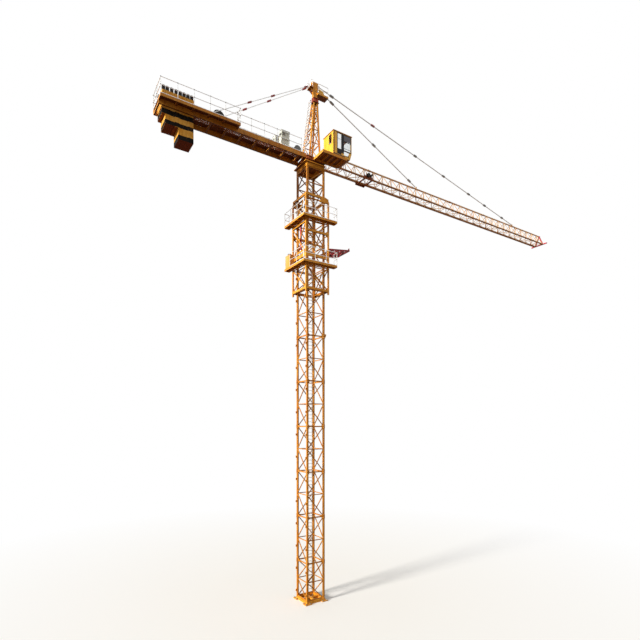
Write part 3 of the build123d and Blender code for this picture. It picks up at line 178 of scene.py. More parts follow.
def close_principled(tree, colour, roughness, others):
    """Ends a material with one Principled shader of this colour and roughness, and with the other inputs."""
    inputs = {"Base Color": colour, "Roughness": roughness, **others}
    close_material(tree, add_node(tree, "BsdfPrincipled", inputs=inputs).outputs["BSDF"])


# %% [markdown]
# Almost everything on a tower crane is alkyd enamel sprayed over steel. In the sun it fades, rain washes
# dust down it in long streaks and chips show the primer. The sides that face the ground get a darker
# colour, which is painted shade. The same recipe, with other colours, serves the orange lattice, the glossy
# yellow cab, the crimson parts and the brown machine deck. Streaks are wide noise stretched along the
# height, and the painted shade on the undersides comes from the direction in which the surface faces.


# %% Painted steel
primer = "#6E3A22"


def painted_steel(name, paint, faded, grime, underside_shade, gloss=0.42, coat=0.0, chip_share=0.66):
    """Enamel on steel, with faded blotches, rain streaks, primer chips, and painted shade on faces that look
    down.
    """
    material, tree, place = blank_material(name + "_enamel")
    fade = between(tree, noise(tree, place, 900, 4), 0.38, 0.66)
    colour = mix_colour(tree, fade, paint, faded)
    streaks = between(tree, noise(tree, place, 70, 4, stretch=(1, 1, 9)), 0.52, 0.74, 0.0, 0.55)
    colour = mix_colour(tree, streaks, colour, grime)
    chips = between(tree, noise(tree, place, 26, 6), chip_share, chip_share + 0.03)
    colour = mix_colour(tree, chips, colour, primer)
    # Painted shade: faces that look down take the last, darker colour.
    colour = mix_colour(tree, painted_underside_shade(tree, 0.9), colour, underside_shade)
    rough = between(tree, noise(tree, place, 60, 3), 0.3, 0.7, gloss - 0.07, gloss + 0.16)
    close_principled(tree, colour, rough, {
        "Normal": bumped(tree, place, 0.18, 0.002, 9), "Specular IOR Level": 0.25,
        "Coat Weight": coat, "Coat Roughness": 0.12})
    return material


# In each enamel the last colour is painted shade, for the faces that look down.
orange_enamel = painted_steel("orange", "#D68A22", "#E6A43E", "#94602A", "#5A2410")
jib_enamel = painted_steel("dull_jib", "#D6A068", "#E4BC8A", "#A47A4C", "#A0683A")
mast_enamel = painted_steel("weathered_mast", "#BC741E", "#CE8E36", "#74461E", "#521F10")
yellow_enamel = painted_steel("yellow_gloss", "#F2B22A", "#F6C24A", "#C08A32", "#8A4E1E", 0.3, 0.35, 0.7)
crimson_enamel = painted_steel("crimson", "#A31C2B", "#B63A40", "#5E1A1E", "#5A1016")
tan_enamel = painted_steel("worn_tan", "#B8741F", "#CA8C35", "#6E3A1A", "#52200F")
brown_enamel = painted_steel("brown_machine", "#8E431C", "#A2592A", "#54290F", "#4E2412", 0.5)
black_enamel = painted_steel("black", "#161413", "#272321", "#33291F", "#121010", 0.5)
cabinet_enamel = painted_steel("grey_green_cabinet", "#D3D7CC", "#E0E3DA", "#ABA996", "#6E6A58", 0.4)
ochre_enamel = painted_steel("ochre_cabinet", "#D69A4A", "#DFAE68", "#8E6230", "#6A3C1C", 0.45)
dark_crimson_enamel = painted_steel("dark_crimson", "#7C1A28", "#8E2E38", "#46161A", "#3E0E14")
rust_red_enamel = painted_steel("rust_red", "#97361F", "#A84A30", "#5C2618", "#4A1A10")
slate_enamel = painted_steel("slate_hood", "#6C7074", "#7E8286", "#4A4540", "#2A2725", 0.4)
print("painted steels made")

# %% [markdown]
# Ladders, railings and stays are hot-dip galvanised: the zinc freezes in flat crystals, each a slightly
# different grey, with sharp borders. A Voronoi pattern has just such cells. The crystals are drawn at
# 40 mm, coarser than the real 15 mm, so that they still show in a picture of the whole crane.


# %% Galvanised steel
def galvanised_steel(name, dark, pale, crystal_mm=40):
    """Zinc with flat crystals of slightly different greys, dull white bloom and some metal shine."""
    material, tree, place = blank_material(name)
    cells = add_node(tree, "TexVoronoi", inputs={"Vector": place, "Scale": 1000 / crystal_mm})
    tone = add_node(tree, "SeparateColor", inputs={"Color": cells.outputs["Color"]}).outputs["Red"]
    colour = colour_ramp(tree, tone, [(0.0, dark), (1.0, pale)])
    bloom = between(tree, noise(tree, place, 300, 4, stretch=(1, 1, 3)), 0.5, 0.7, 0.0, 0.5)
    colour = mix_colour(tree, bloom, colour, "#DCDBD6")
    rough = between(tree, tone, 0.0, 1.0, 0.42, 0.62)
    close_principled(tree, colour, rough, {"Metallic": 0.8, "Normal": bumped(tree, place, 0.1, 0.001, 12, 2)})
    return material


zinc_rail = galvanised_steel("galvanised_rail", "#DCDDDD", "#EEEEEC")
zinc_stay = galvanised_steel("galvanised_stay", "#C6C4C4", "#DCDAD8")
pale_stay = galvanised_steel("pale_galvanised_stay", "#D2D2D1", "#E8E8E6")
print("galvanised steels made")

# %% [markdown]
# The counterweight slabs are cast and painted in broad bands of ochre and black. Each slab was painted by
# itself, so the band edges step a little from slab to slab. The height gives the band, and each slab's
# width along the stack has one random number that shifts it.

# %% Banded counterweight paint
band_edges = (17.53, 17.71, 17.95, 18.10, 18.28, 18.46)
edge_half = 0.004
slab_step = 0.014
steps_per_metre = 6.4


def banded_slab_paint():
    """Ochre paint with black bands between named heights, chalky and pitted like painted concrete."""
    material, tree, place = blank_material("banded_slab_paint")
    parts = add_node(tree, "SeparateXYZ", inputs={"Vector": place}).outputs
    column = arithmetic(tree, "FLOOR", arithmetic(tree, "MULTIPLY", parts["X"], steps_per_metre))
    step = add_node(tree, "TexWhiteNoise", {"noise_dimensions": "1D"}, {"W": column}).outputs["Value"]
    height = arithmetic(tree, "ADD", parts["Z"], between(tree, step, 0, 1, -slab_step, slab_step))
    black = 0.0
    for low, high in zip(band_edges[0::2], band_edges[1::2]):
        over = between(tree, height, low - edge_half, low + edge_half)
        under = between(tree, height, high - edge_half, high + edge_half, 1.0, 0.0)
        black = arithmetic(tree, "MAXIMUM", arithmetic(tree, "MULTIPLY", over, under), black)
    ochre = mix_colour(tree, between(tree, noise(tree, place, 200, 5), 0.35, 0.7), "#D0902E", "#DDAA55")
    coal = mix_colour(tree, between(tree, noise(tree, place, 120, 4), 0.4, 0.7), "#0F0E0D", "#211E1B")
    colour = mix_colour(tree, black, ochre, coal)
    streaks = between(tree, noise(tree, place, 50, 5, stretch=(1, 1, 8)), 0.55, 0.8, 0.0, 0.5)
    colour = mix_colour(tree, streaks, colour, "#7C4B22")
    # Painted shade: faces that look down turn dark brown.
    colour = mix_colour(tree, painted_underside_shade(tree, 0.92), colour, "#6A2F1A")
    close_principled(tree, colour, 0.8, {
        "Normal": bumped(tree, place, 0.35, 0.004, 16, 5), "Specular IOR Level": 0.1})
    return material


slab_paint = banded_slab_paint()

# %% [markdown]
# A cab's windows are thin laminated panes, so light goes straight through them, with a faint grey-blue
# tint, and the glossy coat reflects the sky. The door's pane looks pale in the picture, from the bright sky
# seen through it, so a pale mirror sheet lies on it: painted reflection that stands for that sky. Rubber
# holds the panes in. The ram's rod is hard chrome, and the winch is wound with greased wire rope, whose
# strands show as a strong, fine grain.


# %% Glass, rubber, chrome and wire
def cab_glass():
    """A thin pane: mostly clear, tinted, with sharp reflections and slight dust."""
    material, tree, place = blank_material("laminated_cab_glass")
    dust = between(tree, noise(tree, place, 250, 4), 0.45, 0.75, 0.04, 0.16)
    close_principled(tree, linear("#F3F6F6"), dust, {"Transmission Weight": 1.0, "IOR": 1.45})
    return material


def plain_finish(name, dark, pale, rough, metallic=0.0, grain_mm=30, grain_bump=0.08):
    """A simple finish with a little mottling, for rubber, chrome and other small parts."""
    material, tree, place = blank_material(name)
    colour = mix_colour(tree, between(tree, noise(tree, place, grain_mm * 5, 3), 0.35, 0.7), dark, pale)
    roughness = between(tree, noise(tree, place, grain_mm * 2, 2), 0.3, 0.7, rough * 0.85, rough * 1.15)
    close_principled(tree, colour, roughness, {
        "Metallic": metallic, "Normal": bumped(tree, place, grain_bump, 0.002, grain_mm),
        "Specular IOR Level": 0.25})
    return material


def tinted_strip():
    """A dark violet sun strip along the top of a pane: light goes through, but little of it."""
    material, tree, place = blank_material("tinted_sun_strip")
    colour = mix_colour(tree, between(tree, noise(tree, place, 200, 2), 0.4, 0.7), "#2A2232", "#3A3044")
    close_principled(tree, colour, 0.3, {"Transmission Weight": 0.05, "IOR": 1.45})
    return material


pane_glass = cab_glass()
# A pale mirror sheet for the door's pane: painted reflection, standing for the bright sky seen through it.
painted_pane_reflection = plain_finish("painted_reflection_sheet", "#E2E6E8", "#F2F4F4", 0.2, 0.9, 60, 0.01)
sun_strip = tinted_strip()
black_rubber = plain_finish("black_rubber", "#1C1C1E", "#2A2A2C", 0.62)
chrome_rod = plain_finish("hard_chrome", "#C9CCCF", "#DDE0E2", 0.12, 1.0)
greased_wire = plain_finish("greased_wire_rope", "#24211F", "#38342F", 0.6, 0.1, 8, 0.5)
bright_bolt = plain_finish("zinc_plated_bolt", "#8F8C84", "#B5B1A6", 0.4, 0.8)
print("materials", len(bpy.data.materials))

# %% [markdown]
# The pieces of the frame keep their own meshes and only get a finish. Each finish is given here to the
# pieces it belongs to, and the rest of the steelwork is orange. On the head's platform the floor is
# orange and the rails above it are zinc, so there the height of each face picks its finish.

# %% Finishes of the frame's pieces
rail_foot = 21.65
finishes = {
    zinc_rail: ["mast_ladder", "head_ladder", "counter_jib_railings", "cage_upper_railing",
                "cage_lower_railing"],
    zinc_stay: ["jib_tie_outer", "jib_tie_inner"],
    pale_stay: ["counter_jib_ties"],
    mast_enamel: ["mast_near_side", "mast_far_side", "mast_rear_side", "mast_front_side"],
    jib_enamel: ["jib_near_side", "jib_far_side", "jib_bottom_bracing", "jib_top_chord"],
    brown_enamel: ["turntable", "counter_jib_deck", "trolley_frame"],
    tan_enamel: ["counter_jib_frame", "wide_deck_frame"],
    crimson_enamel: ["jib_tip_frame", "climbing_cylinder", "introduction_frame"],
    rust_red_enamel: ["head_collar"],
    slab_paint: ["counterweight_rear", "counterweight_middle", "counterweight_front"],
    black_enamel: ["lifting_eyes", "hoist_winch", "trolley_reels", "trolley_wheels", "cage_rollers"],
    slate_enamel: ["machine_hood"],
    cabinet_enamel: ["control_cabinets"],
    ochre_enamel: ["pump_station"],
    yellow_enamel: ["cab_shell", "cab_roof"],
    pane_glass: ["cab_windows"],
}
finish_of = {name: material for material, names in finishes.items() for name in names}
for name, part in nodes.items():
    part.data.materials.clear()
    part.data.materials.append(finish_of.get(name, orange_enamel))
head_platform = nodes["head_platform"].data
middles = np.empty((len(head_platform.polygons), 3))
head_platform.polygons.foreach_get("center", middles.ravel())
head_platform.materials.append(zinc_rail)
head_platform.polygons.foreach_set("material_index", (middles[:, 2] > rail_foot).astype(np.int32))
print("orange pieces", sum(name not in finish_of for name in nodes))

# %% [markdown]
# Every added part is a shell of points that numpy works out as whole arrays. One function joins rings of
# points into a closed skin, as a shipwright lofts a hull through its frames. Blocks, rods, turned parts and
# plates only differ in how their rings are laid out, and a gusset is worked out once and then copied by
# adding offsets.


# %% Shells
def loft(rings, closed=False):
    """Joins rings, shaped (..., rings, points, 3), each to the next; flat caps end it unless it is closed."""
    rings = np.asarray(rings, float)
    copies = rings.reshape(-1, *rings.shape[-3:])
    count, ring_count, around = copies.shape[:3]
    here = np.arange(ring_count * around).reshape(ring_count, around)
    corners = [here, np.roll(here, -1, 1), np.roll(here, (-1, -1), (0, 1)), np.roll(here, -1, 0)]
    quads = np.stack(corners, axis=-1)[:ring_count if closed else -1].reshape(-1, 4)
    offsets = (np.arange(count) * ring_count * around)[:, None, None]
    faces = (quads + offsets).reshape(-1, 4).tolist()
    if not closed:
        caps = np.stack([here[0, ::-1], here[-1]])
        faces += (caps + offsets).reshape(-1, around).tolist()
    return copies.reshape(-1, 3), faces


def block(low, high, bevel=0.004):
    """Boxes with bevelled edges: four rings up the height, each a rectangle with its corners cut off."""
    low, high = np.broadcast_arrays(np.asarray(low, float), np.asarray(high, float))
    middle = (low + high)[..., None, None, :] / 2
    half = (high - low)[..., None, None, :] / 2
    sign_x = np.array([1, 1, 1, -1, -1, -1, -1, 1])
    sign_y = np.array([-1, 1, 1, 1, 1, -1, -1, -1])
    cut_x = np.array([0, 0, 1, 1, 0, 0, 1, 1])
    inset = np.array([1, 0, 0, 1])[:, None]
    x = sign_x * (half[..., 0] - bevel * np.maximum(cut_x, inset))
    y = sign_y * (half[..., 1] - bevel * np.maximum(1 - cut_x, inset))
    levels = np.array([-1, -1, 1, 1])[:, None]
    z = levels * (half[..., 2] - bevel * (1 - inset)) * np.ones(8)
    return loft(middle + np.stack([x, y, z], axis=-1))


def rod(starts, ends, radius, sides=8):
    """Straight bars between points. Four sides give a flat bar, whose radius may be (across, up)."""
    starts, ends = np.broadcast_arrays(*(np.atleast_2d(points).astype(float) for points in (starts, ends)))
    along = ends - starts
    along /= np.linalg.norm(along, axis=1, keepdims=True)
    helper = np.where(np.abs(along[:, 2:]) > 0.9, [[1.0, 0, 0]], [[0, 0, 1.0]])
    side = np.cross(helper, along)
    side /= np.linalg.norm(side, axis=1, keepdims=True)
    up = np.cross(along, side)
    angles = pi / sides + 2 * pi * np.arange(sides) / sides
    across, rise = np.broadcast_to(radius, 2) * (sqrt(2) if sides == 4 else 1)
    ring = across * np.cos(angles)[:, None] * side[:, None] + rise * np.sin(angles)[:, None] * up[:, None]
    return loft(np.stack([starts[:, None] + ring, ends[:, None] + ring], axis=1))


axis_order = {"X": (2, 0, 1), "Y": (0, 2, 1), "Z": (0, 1, 2)}


def circle(radius, level, count):
    """Points spaced evenly round a level circle: radius times cosine, radius times sine, and the level."""
    angles = 2 * pi * np.arange(count) / count
    return np.column_stack([radius * np.cos(angles), radius * np.sin(angles), np.full(count, level)])


def ring_profile(low, high, outer, inner=0):
    """The profile of a disc, or of a pipe where the inner radius isn't nothing."""
    return [(low, inner), (low, outer), (high, outer), (high, inner)]


def turned(profile, place, axis="Z", sides=24, closed=False):
    """A turned part: each (height, radius) pair of the profile is a ring about the axis through the place."""
    heights, radii = np.asarray(profile, float).T[:, :, None]
    rings = circle(1, 1, sides) * np.stack([radii, radii, heights], axis=-1)
    return loft(np.atleast_2d(place)[:, None, None] + rings[..., axis_order[axis]], closed)


def plate(outline, low, high, axis):
    """A flat plate: its outline, in the two other axes, drawn at low and at high along the axis."""
    outline = np.asarray(outline, float)
    rings = [np.insert(outline, 2, level, axis=1) for level in (low, high)]
    return loft(np.stack(rings)[..., axis_order[axis]])


def eye_plate(half_across, half_up, hole, thickness, place, axis):
    """A rounded plate with a hole: a circle's points over (cos^4 + sin^4)^(1/4), stretched to both halves."""
    unit = circle(1, 0, 24)[:, :2]
    rim = unit / (unit ** 4).sum(axis=1, keepdims=True) ** 0.25 * (half_across, half_up)
    half = thickness / 2
    rings = [np.insert(shape, 2, level, axis=1) for shape, level in (
        (rim, -half), (rim, half), (hole * unit, half), (hole * unit, -half))]
    return loft(np.atleast_2d(place)[:, None, None] + np.stack(rings)[..., axis_order[axis]], closed=True)


def copied(shell, offsets):
    """One shell repeated at each offset."""
    points, faces = shell
    offsets = np.atleast_2d(offsets)
    spread = (points[None] + offsets[:, None]).reshape(-1, 3)
    return spread, [[corner + number * len(points) for corner in face]
                    for number in range(len(offsets)) for face in faces]


def grid(*values):
    """Every combination of the given values, as rows of an array."""
    return np.stack(np.meshgrid(*values, indexing="ij"), axis=-1).reshape(-1, len(values))


def make_piece(name, shells, material, body="upper"):
    """One named object from several shells: welded, faced outward, smooth except at edges, on its body."""
    points = np.concatenate([shell[0] for shell in shells])
    starts = np.cumsum([0] + [len(shell[0]) for shell in shells])
    faces = [[corner + start for corner in face]
             for start, shell in zip(starts.tolist(), shells) for face in shell[1]]
    mesh = bpy.data.meshes.new(name)
    mesh.from_pydata(points.tolist(), [], faces)
    work = bmesh.new()
    work.from_mesh(mesh)
    bmesh.ops.remove_doubles(work, verts=work.verts, dist=0.00001)
    bmesh.ops.recalc_face_normals(work, faces=work.faces)
    work.to_mesh(mesh)
    work.free()
    mesh.shade_smooth()
    mesh.set_sharp_from_angle(angle=radians(32))
    mesh.materials.append(material)
    piece = bpy.data.objects.new(name, mesh)
    bpy.context.collection.objects.link(piece)
    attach(piece, body)
    print(name, len(mesh.polygons), "faces")
    return piece


# %% [markdown]
# The mast comes to the site as sections that are pinned end to end. Each leg ends in a sleeve, and two
# sleeves meet with a thin gap and are held by cross pins. On a real crane the sleeves are forged blocks
# welded to the legs. Here they are bevelled boxes a centimetre wider than the leg, with round pins that
# stick out on all sides, so that each joint shows as a thick knot. Corner gussets brace the joint bars.

# %% Mast joints
mast_half = 0.4
joint_levels = 1.667 + 1.903 * np.arange(9)
joints = grid((-mast_half, mast_half), (-mast_half, mast_half), joint_levels)
sleeve_half = 0.047
sleeve_reach = 0.088
sleeve_gap = 0.003
sleeves = [block(joints + (-sleeve_half, -sleeve_half, low), joints + (sleeve_half, sleeve_half, high), 0.007)
           for low, high in ((-sleeve_reach, -sleeve_gap), (sleeve_gap, sleeve_reach))]
gusset = np.array([(0, -0.1), (0.1, 0), (0, 0.1)])
leg_inner = mast_half - 0.037
at_joints = grid((0,), (0,), joint_levels)
for side, direction in grid((-1, 1), (-1, 1)):
    wall, leg = side * mast_half, -direction * leg_inner
    for axis, corner in (("X", (wall, leg, 0)), ("Y", (leg, wall, 0))):
        sleeves.append(copied(plate(gusset * (direction, 1), -0.006, 0.006, axis), at_joints + corner))
make_piece("mast_joint_sleeves", sleeves, mast_enamel, "mast")

pin_reach = 0.062
pins = []
for rise in (-0.045, 0.045):
    for reach, offset in (((pin_reach, 0, 0), 0.012), ((0, pin_reach, 0), -0.012)):
        middle = joints + (0, 0, rise + offset)
        pins.append(rod(middle - reach, middle + reach, 0.011))
make_piece("mast_joint_pins", pins, bright_bolt, "mast")

# %% [markdown]
# The crane stands on four feet, each held by four anchor bolts cast into the ground. The slewing bearing
# above is a ring as wide as the mast, with gear teeth cut round its outside, which the slewing pinions
# bite into, and a circle of bolts. The teeth are one closed ring whose outer radius steps in and out. The
# climbing ram's rod gets a skin of hard chrome, a tenth of a millimetre proud.

# %% Anchor bolts, slewing gear and ram
feet = grid((-mast_half, mast_half), (-mast_half, mast_half), (0.03,))
bolt_places = (feet[:, None] + grid((-0.095, 0.095), (-0.095, 0.095), (0,))[None]).reshape(-1, 3)
nut = turned(ring_profile(0, 0.02, 0.024), bolt_places, sides=6)
washer = turned(ring_profile(0, 0.004, 0.03), bolt_places)
stud_profile = [(-0.029, 0), (-0.029, 0.0125), (0.045, 0.0125), (0.048, 0.0095), (0.048, 0)]
stud = turned(stud_profile, bolt_places, sides=12)
make_piece("foot_anchor_bolts", [nut, washer, stud], bright_bolt, "mast")

seat_top = 18.38
tooth_count = 96
tooth_tip = np.tile([0.404, 0.404, 0.415, 0.415], tooth_count)
gear_rings = [circle(radius, seat_top + level, 4 * tooth_count)
              for radius, level in ((tooth_tip, 0.006), (tooth_tip, 0.036), (0.4, 0.036), (0.4, 0.006))]
ring_bolts = turned(ring_profile(0, 0.01, 0.009), circle(0.4265, seat_top, 36), sides=6)
make_piece("slewing_gear", [loft(gear_rings, closed=True), ring_bolts], bright_bolt, "mast")

ram_x = -0.475
crosshead_top = 14.758
rod_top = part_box("climbing_crosshead")[1][2] - 0.002
rod_skin = turned(ring_profile(crosshead_top, rod_top, 0.0221, 0.0219), (ram_x, 0, 0), closed=True)
make_piece("ram_rod_chrome", [rod_skin], chrome_rod, "mast")

# %% [markdown]
# The turntable is a welded box. Flanges run round its top and bottom edge, and upright ribs between them
# keep its plates from buckling. They are plain bevelled plates set along each free face.

# %% Turntable ribs and flanges
head_base = 18.6205
table_half = 0.43
table_low = 18.4645
flange_width, flange_depth = 0.026, 0.022
table_shells = []
for low, high in ((table_low, table_low + flange_depth), (head_base - flange_depth, head_base)):
    for side in (-1, 1):
        near, far = sorted((side * table_half, side * (table_half + flange_width)))
        table_shells.append(block((near, -table_half, low), (far, table_half, high), 0.003))
        table_shells.append(block((-table_half - flange_width, near, low),
                                  (table_half + flange_width, far, high), 0.003))
rib_places = np.linspace(-0.36, 0.36, 5)
rib_lines = (-table_half - 0.012, table_half + 0.012)
for half_x, half_y, places in ((0.006, 0.012, grid(rib_places, rib_lines, (0,))),
                               (0.012, 0.006, grid(rib_lines, rib_places, (0,)))):
    table_shells.append(block(places + (-half_x, -half_y, table_low + 0.02),
                              places + (half_x, half_y, head_base - 0.02), 0.002))
make_piece("turntable_ribs", table_shells, brown_enamel)

# %% [markdown]
# At the head's top sits a collar with two wide flanges and upright webs between them, painted a rusty red.
# Behind the crown a bracket carries a tiny service floor with hand posts for greasing the stay pins, and
# in front of it two yellow plates stand on the platform, one on each side of the inner stay.

# %% Head top
collar = np.array((0.205, 0, 21.2005))
flanges = [block(collar + (-0.142, -0.152, rise), collar + (0.142, 0.152, rise + 0.024))
           for rise in (0, 0.166)]
webs = [block(collar + (x - 0.005, -0.148, 0.02), collar + (x + 0.005, 0.148, 0.17), 0.002)
        for x in (-0.07, 0.07)]
webs += [block(collar + (-0.138, y - 0.005, 0.02), collar + (0.138, y + 0.005, 0.17), 0.002)
         for y in (-0.08, 0.08)]
make_piece("collar_flanges", flanges + webs, rust_red_enamel)

service_level = 21.775
bracket_outline = [(-0.095, service_level), (0.1225, service_level), (0.1225, 21.60)]
bracket = [plate(bracket_outline, y - 0.005, y + 0.005, "Y") for y in (-0.068, 0.068)]
bracket.append(block((-0.1, -0.15, service_level), (0.06, 0.15, service_level + 0.018), 0.003))
make_piece("head_service_bracket", bracket, orange_enamel)
post_feet = grid((-0.09, 0.03), (-0.142, 0.142), (service_level + 0.018,))
rails = [rod(post_feet, post_feet + (0, 0, 0.3), 0.008, 6)]
for level in (service_level + 0.16, service_level + 0.3):
    rails += [rod((-0.098, y, level), (0.038, y, level), 0.008, 6) for y in (-0.142, 0.142)]
    rails.append(rod((-0.09, -0.142, level), (-0.09, 0.142, level), 0.008, 6))
make_piece("head_service_rails", rails, zinc_rail)

floor_level = 21.6405
guide = np.array([(0.36, 0), (0.63, 0), (0.63, 0.11), (0.58, 0.18), (0.42, 0.22), (0.36, 0.2)])
stay_guides = [plate(guide + (0, floor_level), y - 0.007, y + 0.007, "Y") for y in (-0.08, 0.08)]
guide_bars = grid((0.42, 0.58), (0,), (floor_level + 0.06,))
stay_guides.append(rod(guide_bars - (0, 0.1, 0), guide_bars + (0, 0.1, 0), 0.016, 12))
make_piece("stay_guide_plates", stay_guides, yellow_enamel)

# %% [markdown]
# The stays are made of rods that are linked by pairs of plates with pins through them. Each link covers
# the thick coupling of the construction below it with two plates, red on the counter-jib's stays and
# nearly all grey on the jib's. A link's place is a share of the way along its stay, so the plates always
# lie on the line of the rod.


# %% Stay links
link_reach = 0.1
link_pin_place = 0.065


def stay_links(start, end, shares, offset, height):
    """Link plates and pins at shares of a stay, with a plate on each side of its upright plane."""
    run = np.subtract(end, start)
    along = run / np.linalg.norm(run)
    across = np.cross((0, 0, 1), along)
    across /= np.linalg.norm(across)
    middles = start + np.asarray(shares)[:, None] * run
    lines = [middles + side * offset * across for side in (-1, 1)]
    plates = [rod(line - link_reach * along, line + link_reach * along, (0.004, height), 4)
              for line in lines]
    reach = (offset + 0.014) * across
    places = [middles + side * link_pin_place * along for side in (-1, 1)]
    return plates, [rod(place - reach, place + reach, 0.012) for place in places]


outer_start = (0.405, 0, 22.0105)
inner_start = (0.405, 0, 21.8905)
outer_end = (14.07, 0, 19.3185)
inner_end = (6.195, 0, 19.3185)
grey_links = [stay_links(outer_start, outer_end, (0.05, 0.42, 0.57, 0.715, 0.815, 0.93), 0.029, 0.033),
              stay_links(inner_start, inner_end, (0.12, 0.53, 0.92), 0.029, 0.033)]
red_links = [stay_links(outer_start, outer_end, (0.22,), 0.029, 0.033)]
for side in (-1, 1):
    red_links.append(stay_links((0.01, side * 0.055, 21.9005), (-4.7, side * 0.345, 18.7445),
                                (0.06, 0.4, 0.62), 0.021, 0.027))
for name, links, which, material, slot in (
        ("stay_link_plates", red_links, 0, crimson_enamel, "red_paint"),
        ("grey_stay_plates", grey_links, 0, slate_enamel, "black_steel"),
        ("stay_link_pins", red_links + grey_links, 1, bright_bolt, "grey_steel")):
    make_piece(name, [shell for link in links for shell in link[which]], material)

# %% [markdown]
# The jib is bolted together from sections as well. Every fifth bay its chords pass through a sleeve. The
# lower sleeves are kept off the chords' outer faces, because the trolley's wheels run along there.

# %% Jib sleeves
first_panel = 0.435
last_panel = 16.88
bay = (last_panel - first_panel) / 30
sleeve_x = first_panel + 5 * bay * np.arange(1, 6)
chord_level = 18.7005
top_level = 19.2435
jib_sleeves = []
for middles, half in ((grid(sleeve_x, (0,), (top_level,)), (0.075, 0.034, 0.034)),
                      (grid(sleeve_x, (-0.2375, 0.2375), (chord_level,)), (0.06, 0.033, 0.038))):
    jib_sleeves.append(block(middles - half, middles + half))
make_piece("jib_sleeves", jib_sleeves, jib_enamel)
pin_middles = grid(np.concatenate([sleeve_x - 0.04, sleeve_x + 0.04]), (0,), (top_level,))
top_pins = rod(pin_middles - (0, 0.048, 0), pin_middles + (0, 0.048, 0), 0.01)
make_piece("jib_sleeve_pins", [top_pins], bright_bolt)

# %% [markdown]
# The middle of the counter-jib's deck is open steel grating, so light falls through it and the strip
# looks pale from below. Bearing bars stand on edge along the deck, and thin rods cross them.

# %% Deck grating
deck_low = 18.6905
deck_top = 18.7025
grating_low, grating_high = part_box("deck_grating")
bar_y = np.linspace(grating_low[1] + 0.003, grating_high[1] - 0.003, 9)
grating = [block(grid((grating_low[0],), bar_y - 0.002, (deck_low,)),
                 grid((grating_high[0],), bar_y + 0.002, (deck_top,)), 0.0005)]
cross_x = np.arange(grating_low[0] + 0.02, grating_high[0], 0.06)
grating.append(rod(grid(cross_x, (grating_low[1],), (deck_top - 0.003,)),
                   grid(cross_x, (grating_high[1],), (deck_top - 0.003,)), 0.0028, 6))
open_grating = make_piece("open_deck_grating", grating, brown_enamel)
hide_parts("deck_grating")

# %% [markdown]
# Railings round the deck are clamped from loose tubes, and each crossing has a dark cast clamp. They show
# in the picture as a row of dots along the pale rails.

# %% Railing clamps
rail_height = 0.55
clamp_half = np.array((0.014, 0.014, 0.013))
posts = np.concatenate([grid(np.linspace(-3.451, -0.67, 6), (-0.367, 0.367)),
                        grid(np.linspace(-6.352, -3.468, 6), (-0.667, 0.407)),
                        [(-6.352, -0.13), (-3.468, -0.384)]])
clamp_places = np.concatenate([np.insert(posts, 2, deck_top + rise, axis=1)
                               for rise in (0.008 + rail_height * 0.487, rail_height - 0.008)])
clamps = block(clamp_places - clamp_half, clamp_places + clamp_half)
make_piece("railing_clamps", [clamps], black_rubber)

# %% [markdown]
# Each counterweight slab is lifted by two eyes cast into its top. An eye is a square foot and two crossed,
# rounded plates with a hole for the shackle. A row of them reads as a dense dark band.

# %% Lifting eyes
slab_middles = np.concatenate([-5.1855 - 0.135 * np.arange(4), -5.734 - 0.152 * np.arange(3), [-6.171]])
eye_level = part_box("lifting_eyes")[0][2]
eye_feet = grid(slab_middles, (-0.292, 0.292), (eye_level,))
eyes = [block(eye_feet - (0.055, 0.055, 0), eye_feet + (0.055, 0.055, 0.035)),
        eye_plate(0.056, 0.078, 0.018, 0.06, eye_feet + (0, 0, 0.11), "Y"),
        eye_plate(0.055, 0.070, 0.014, 0.03, eye_feet + (0, 0, 0.10), "X")]
slab_eyes = make_piece("slab_lifting_eyes", eyes, black_enamel)
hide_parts("lifting_eyes")

# %% [markdown]
# The hoist winch winds wire rope onto a grooved drum between two flanges. Its bearings sit in side plates
# that narrow upward, a finned motor lies across the front and a gearbox closes the far end. The rope is a
# turned surface whose radius goes up and down once for each turn of wire.

# %% Hoist winch
winch_foot = np.array((-4.13, 0, deck_top))
shaft = winch_foot + (0, 0, 0.28)
drum_half = 0.178
along = np.linspace(-drum_half, drum_half, 281)
wire = 0.166 + 0.006 * np.abs(np.sin(pi * 20 * (along / drum_half + 1)))
wire_profile = [(-drum_half, 0), *zip(along, wire), (drum_half, 0)]
make_piece("winch_rope", [turned(wire_profile, shaft, "Y", 32)], greased_wire)

drum_flange = np.array([(0.18, 0), (0.18, 0.222), (0.183, 0.228), (0.195, 0.228), (0.198, 0.222), (0.198, 0)])
bearing = np.array([(0.2, 0), (0.2, 0.06), (0.246, 0.06), (0.25, 0.05), (0.25, 0)])
cheek = np.array([(-0.26, 0), (0.26, 0), (0.26, 0.06), (0.09, 0.35), (-0.09, 0.35), (-0.26, 0.06)])
beams = winch_foot + grid((-0.25, 0.25), (0,), (0,))
winch = [block(beams + (-0.03, -0.25, 0), beams + (0.03, 0.25, 0.04))]
for side in (-1, 1):
    winch.append(turned(drum_flange * (side, 1), shaft, "Y", 40))
    winch.append(turned(bearing * (side, 1), shaft, "Y", 20))
    winch.append(plate(cheek + winch_foot[[0, 2]], side * 0.225 - 0.007, side * 0.225 + 0.007, "Y"))
winch_frame = make_piece("winch_frame", winch, black_enamel)
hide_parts("hoist_winch")

fin = np.array([(0, 0.06), (0.002, 0.072), (0.006, 0.072), (0.008, 0.06)])
motor_profile = np.concatenate([[(-0.215, 0), (-0.215, 0.06)],
                                *[fin + (y, 0) for y in np.arange(-0.2, 0.06, 0.013)],
                                [(0.07, 0.06), (0.07, 0.045), (0.12, 0.045), (0.12, 0)]])
motor = [turned(motor_profile, winch_foot + (0.2, 0, 0.115), "Y"),
         block(winch_foot + (0.13, 0.12, 0.04), winch_foot + (0.275, 0.215, 0.2), 0.01)]
make_piece("winch_motor", motor, slate_enamel)
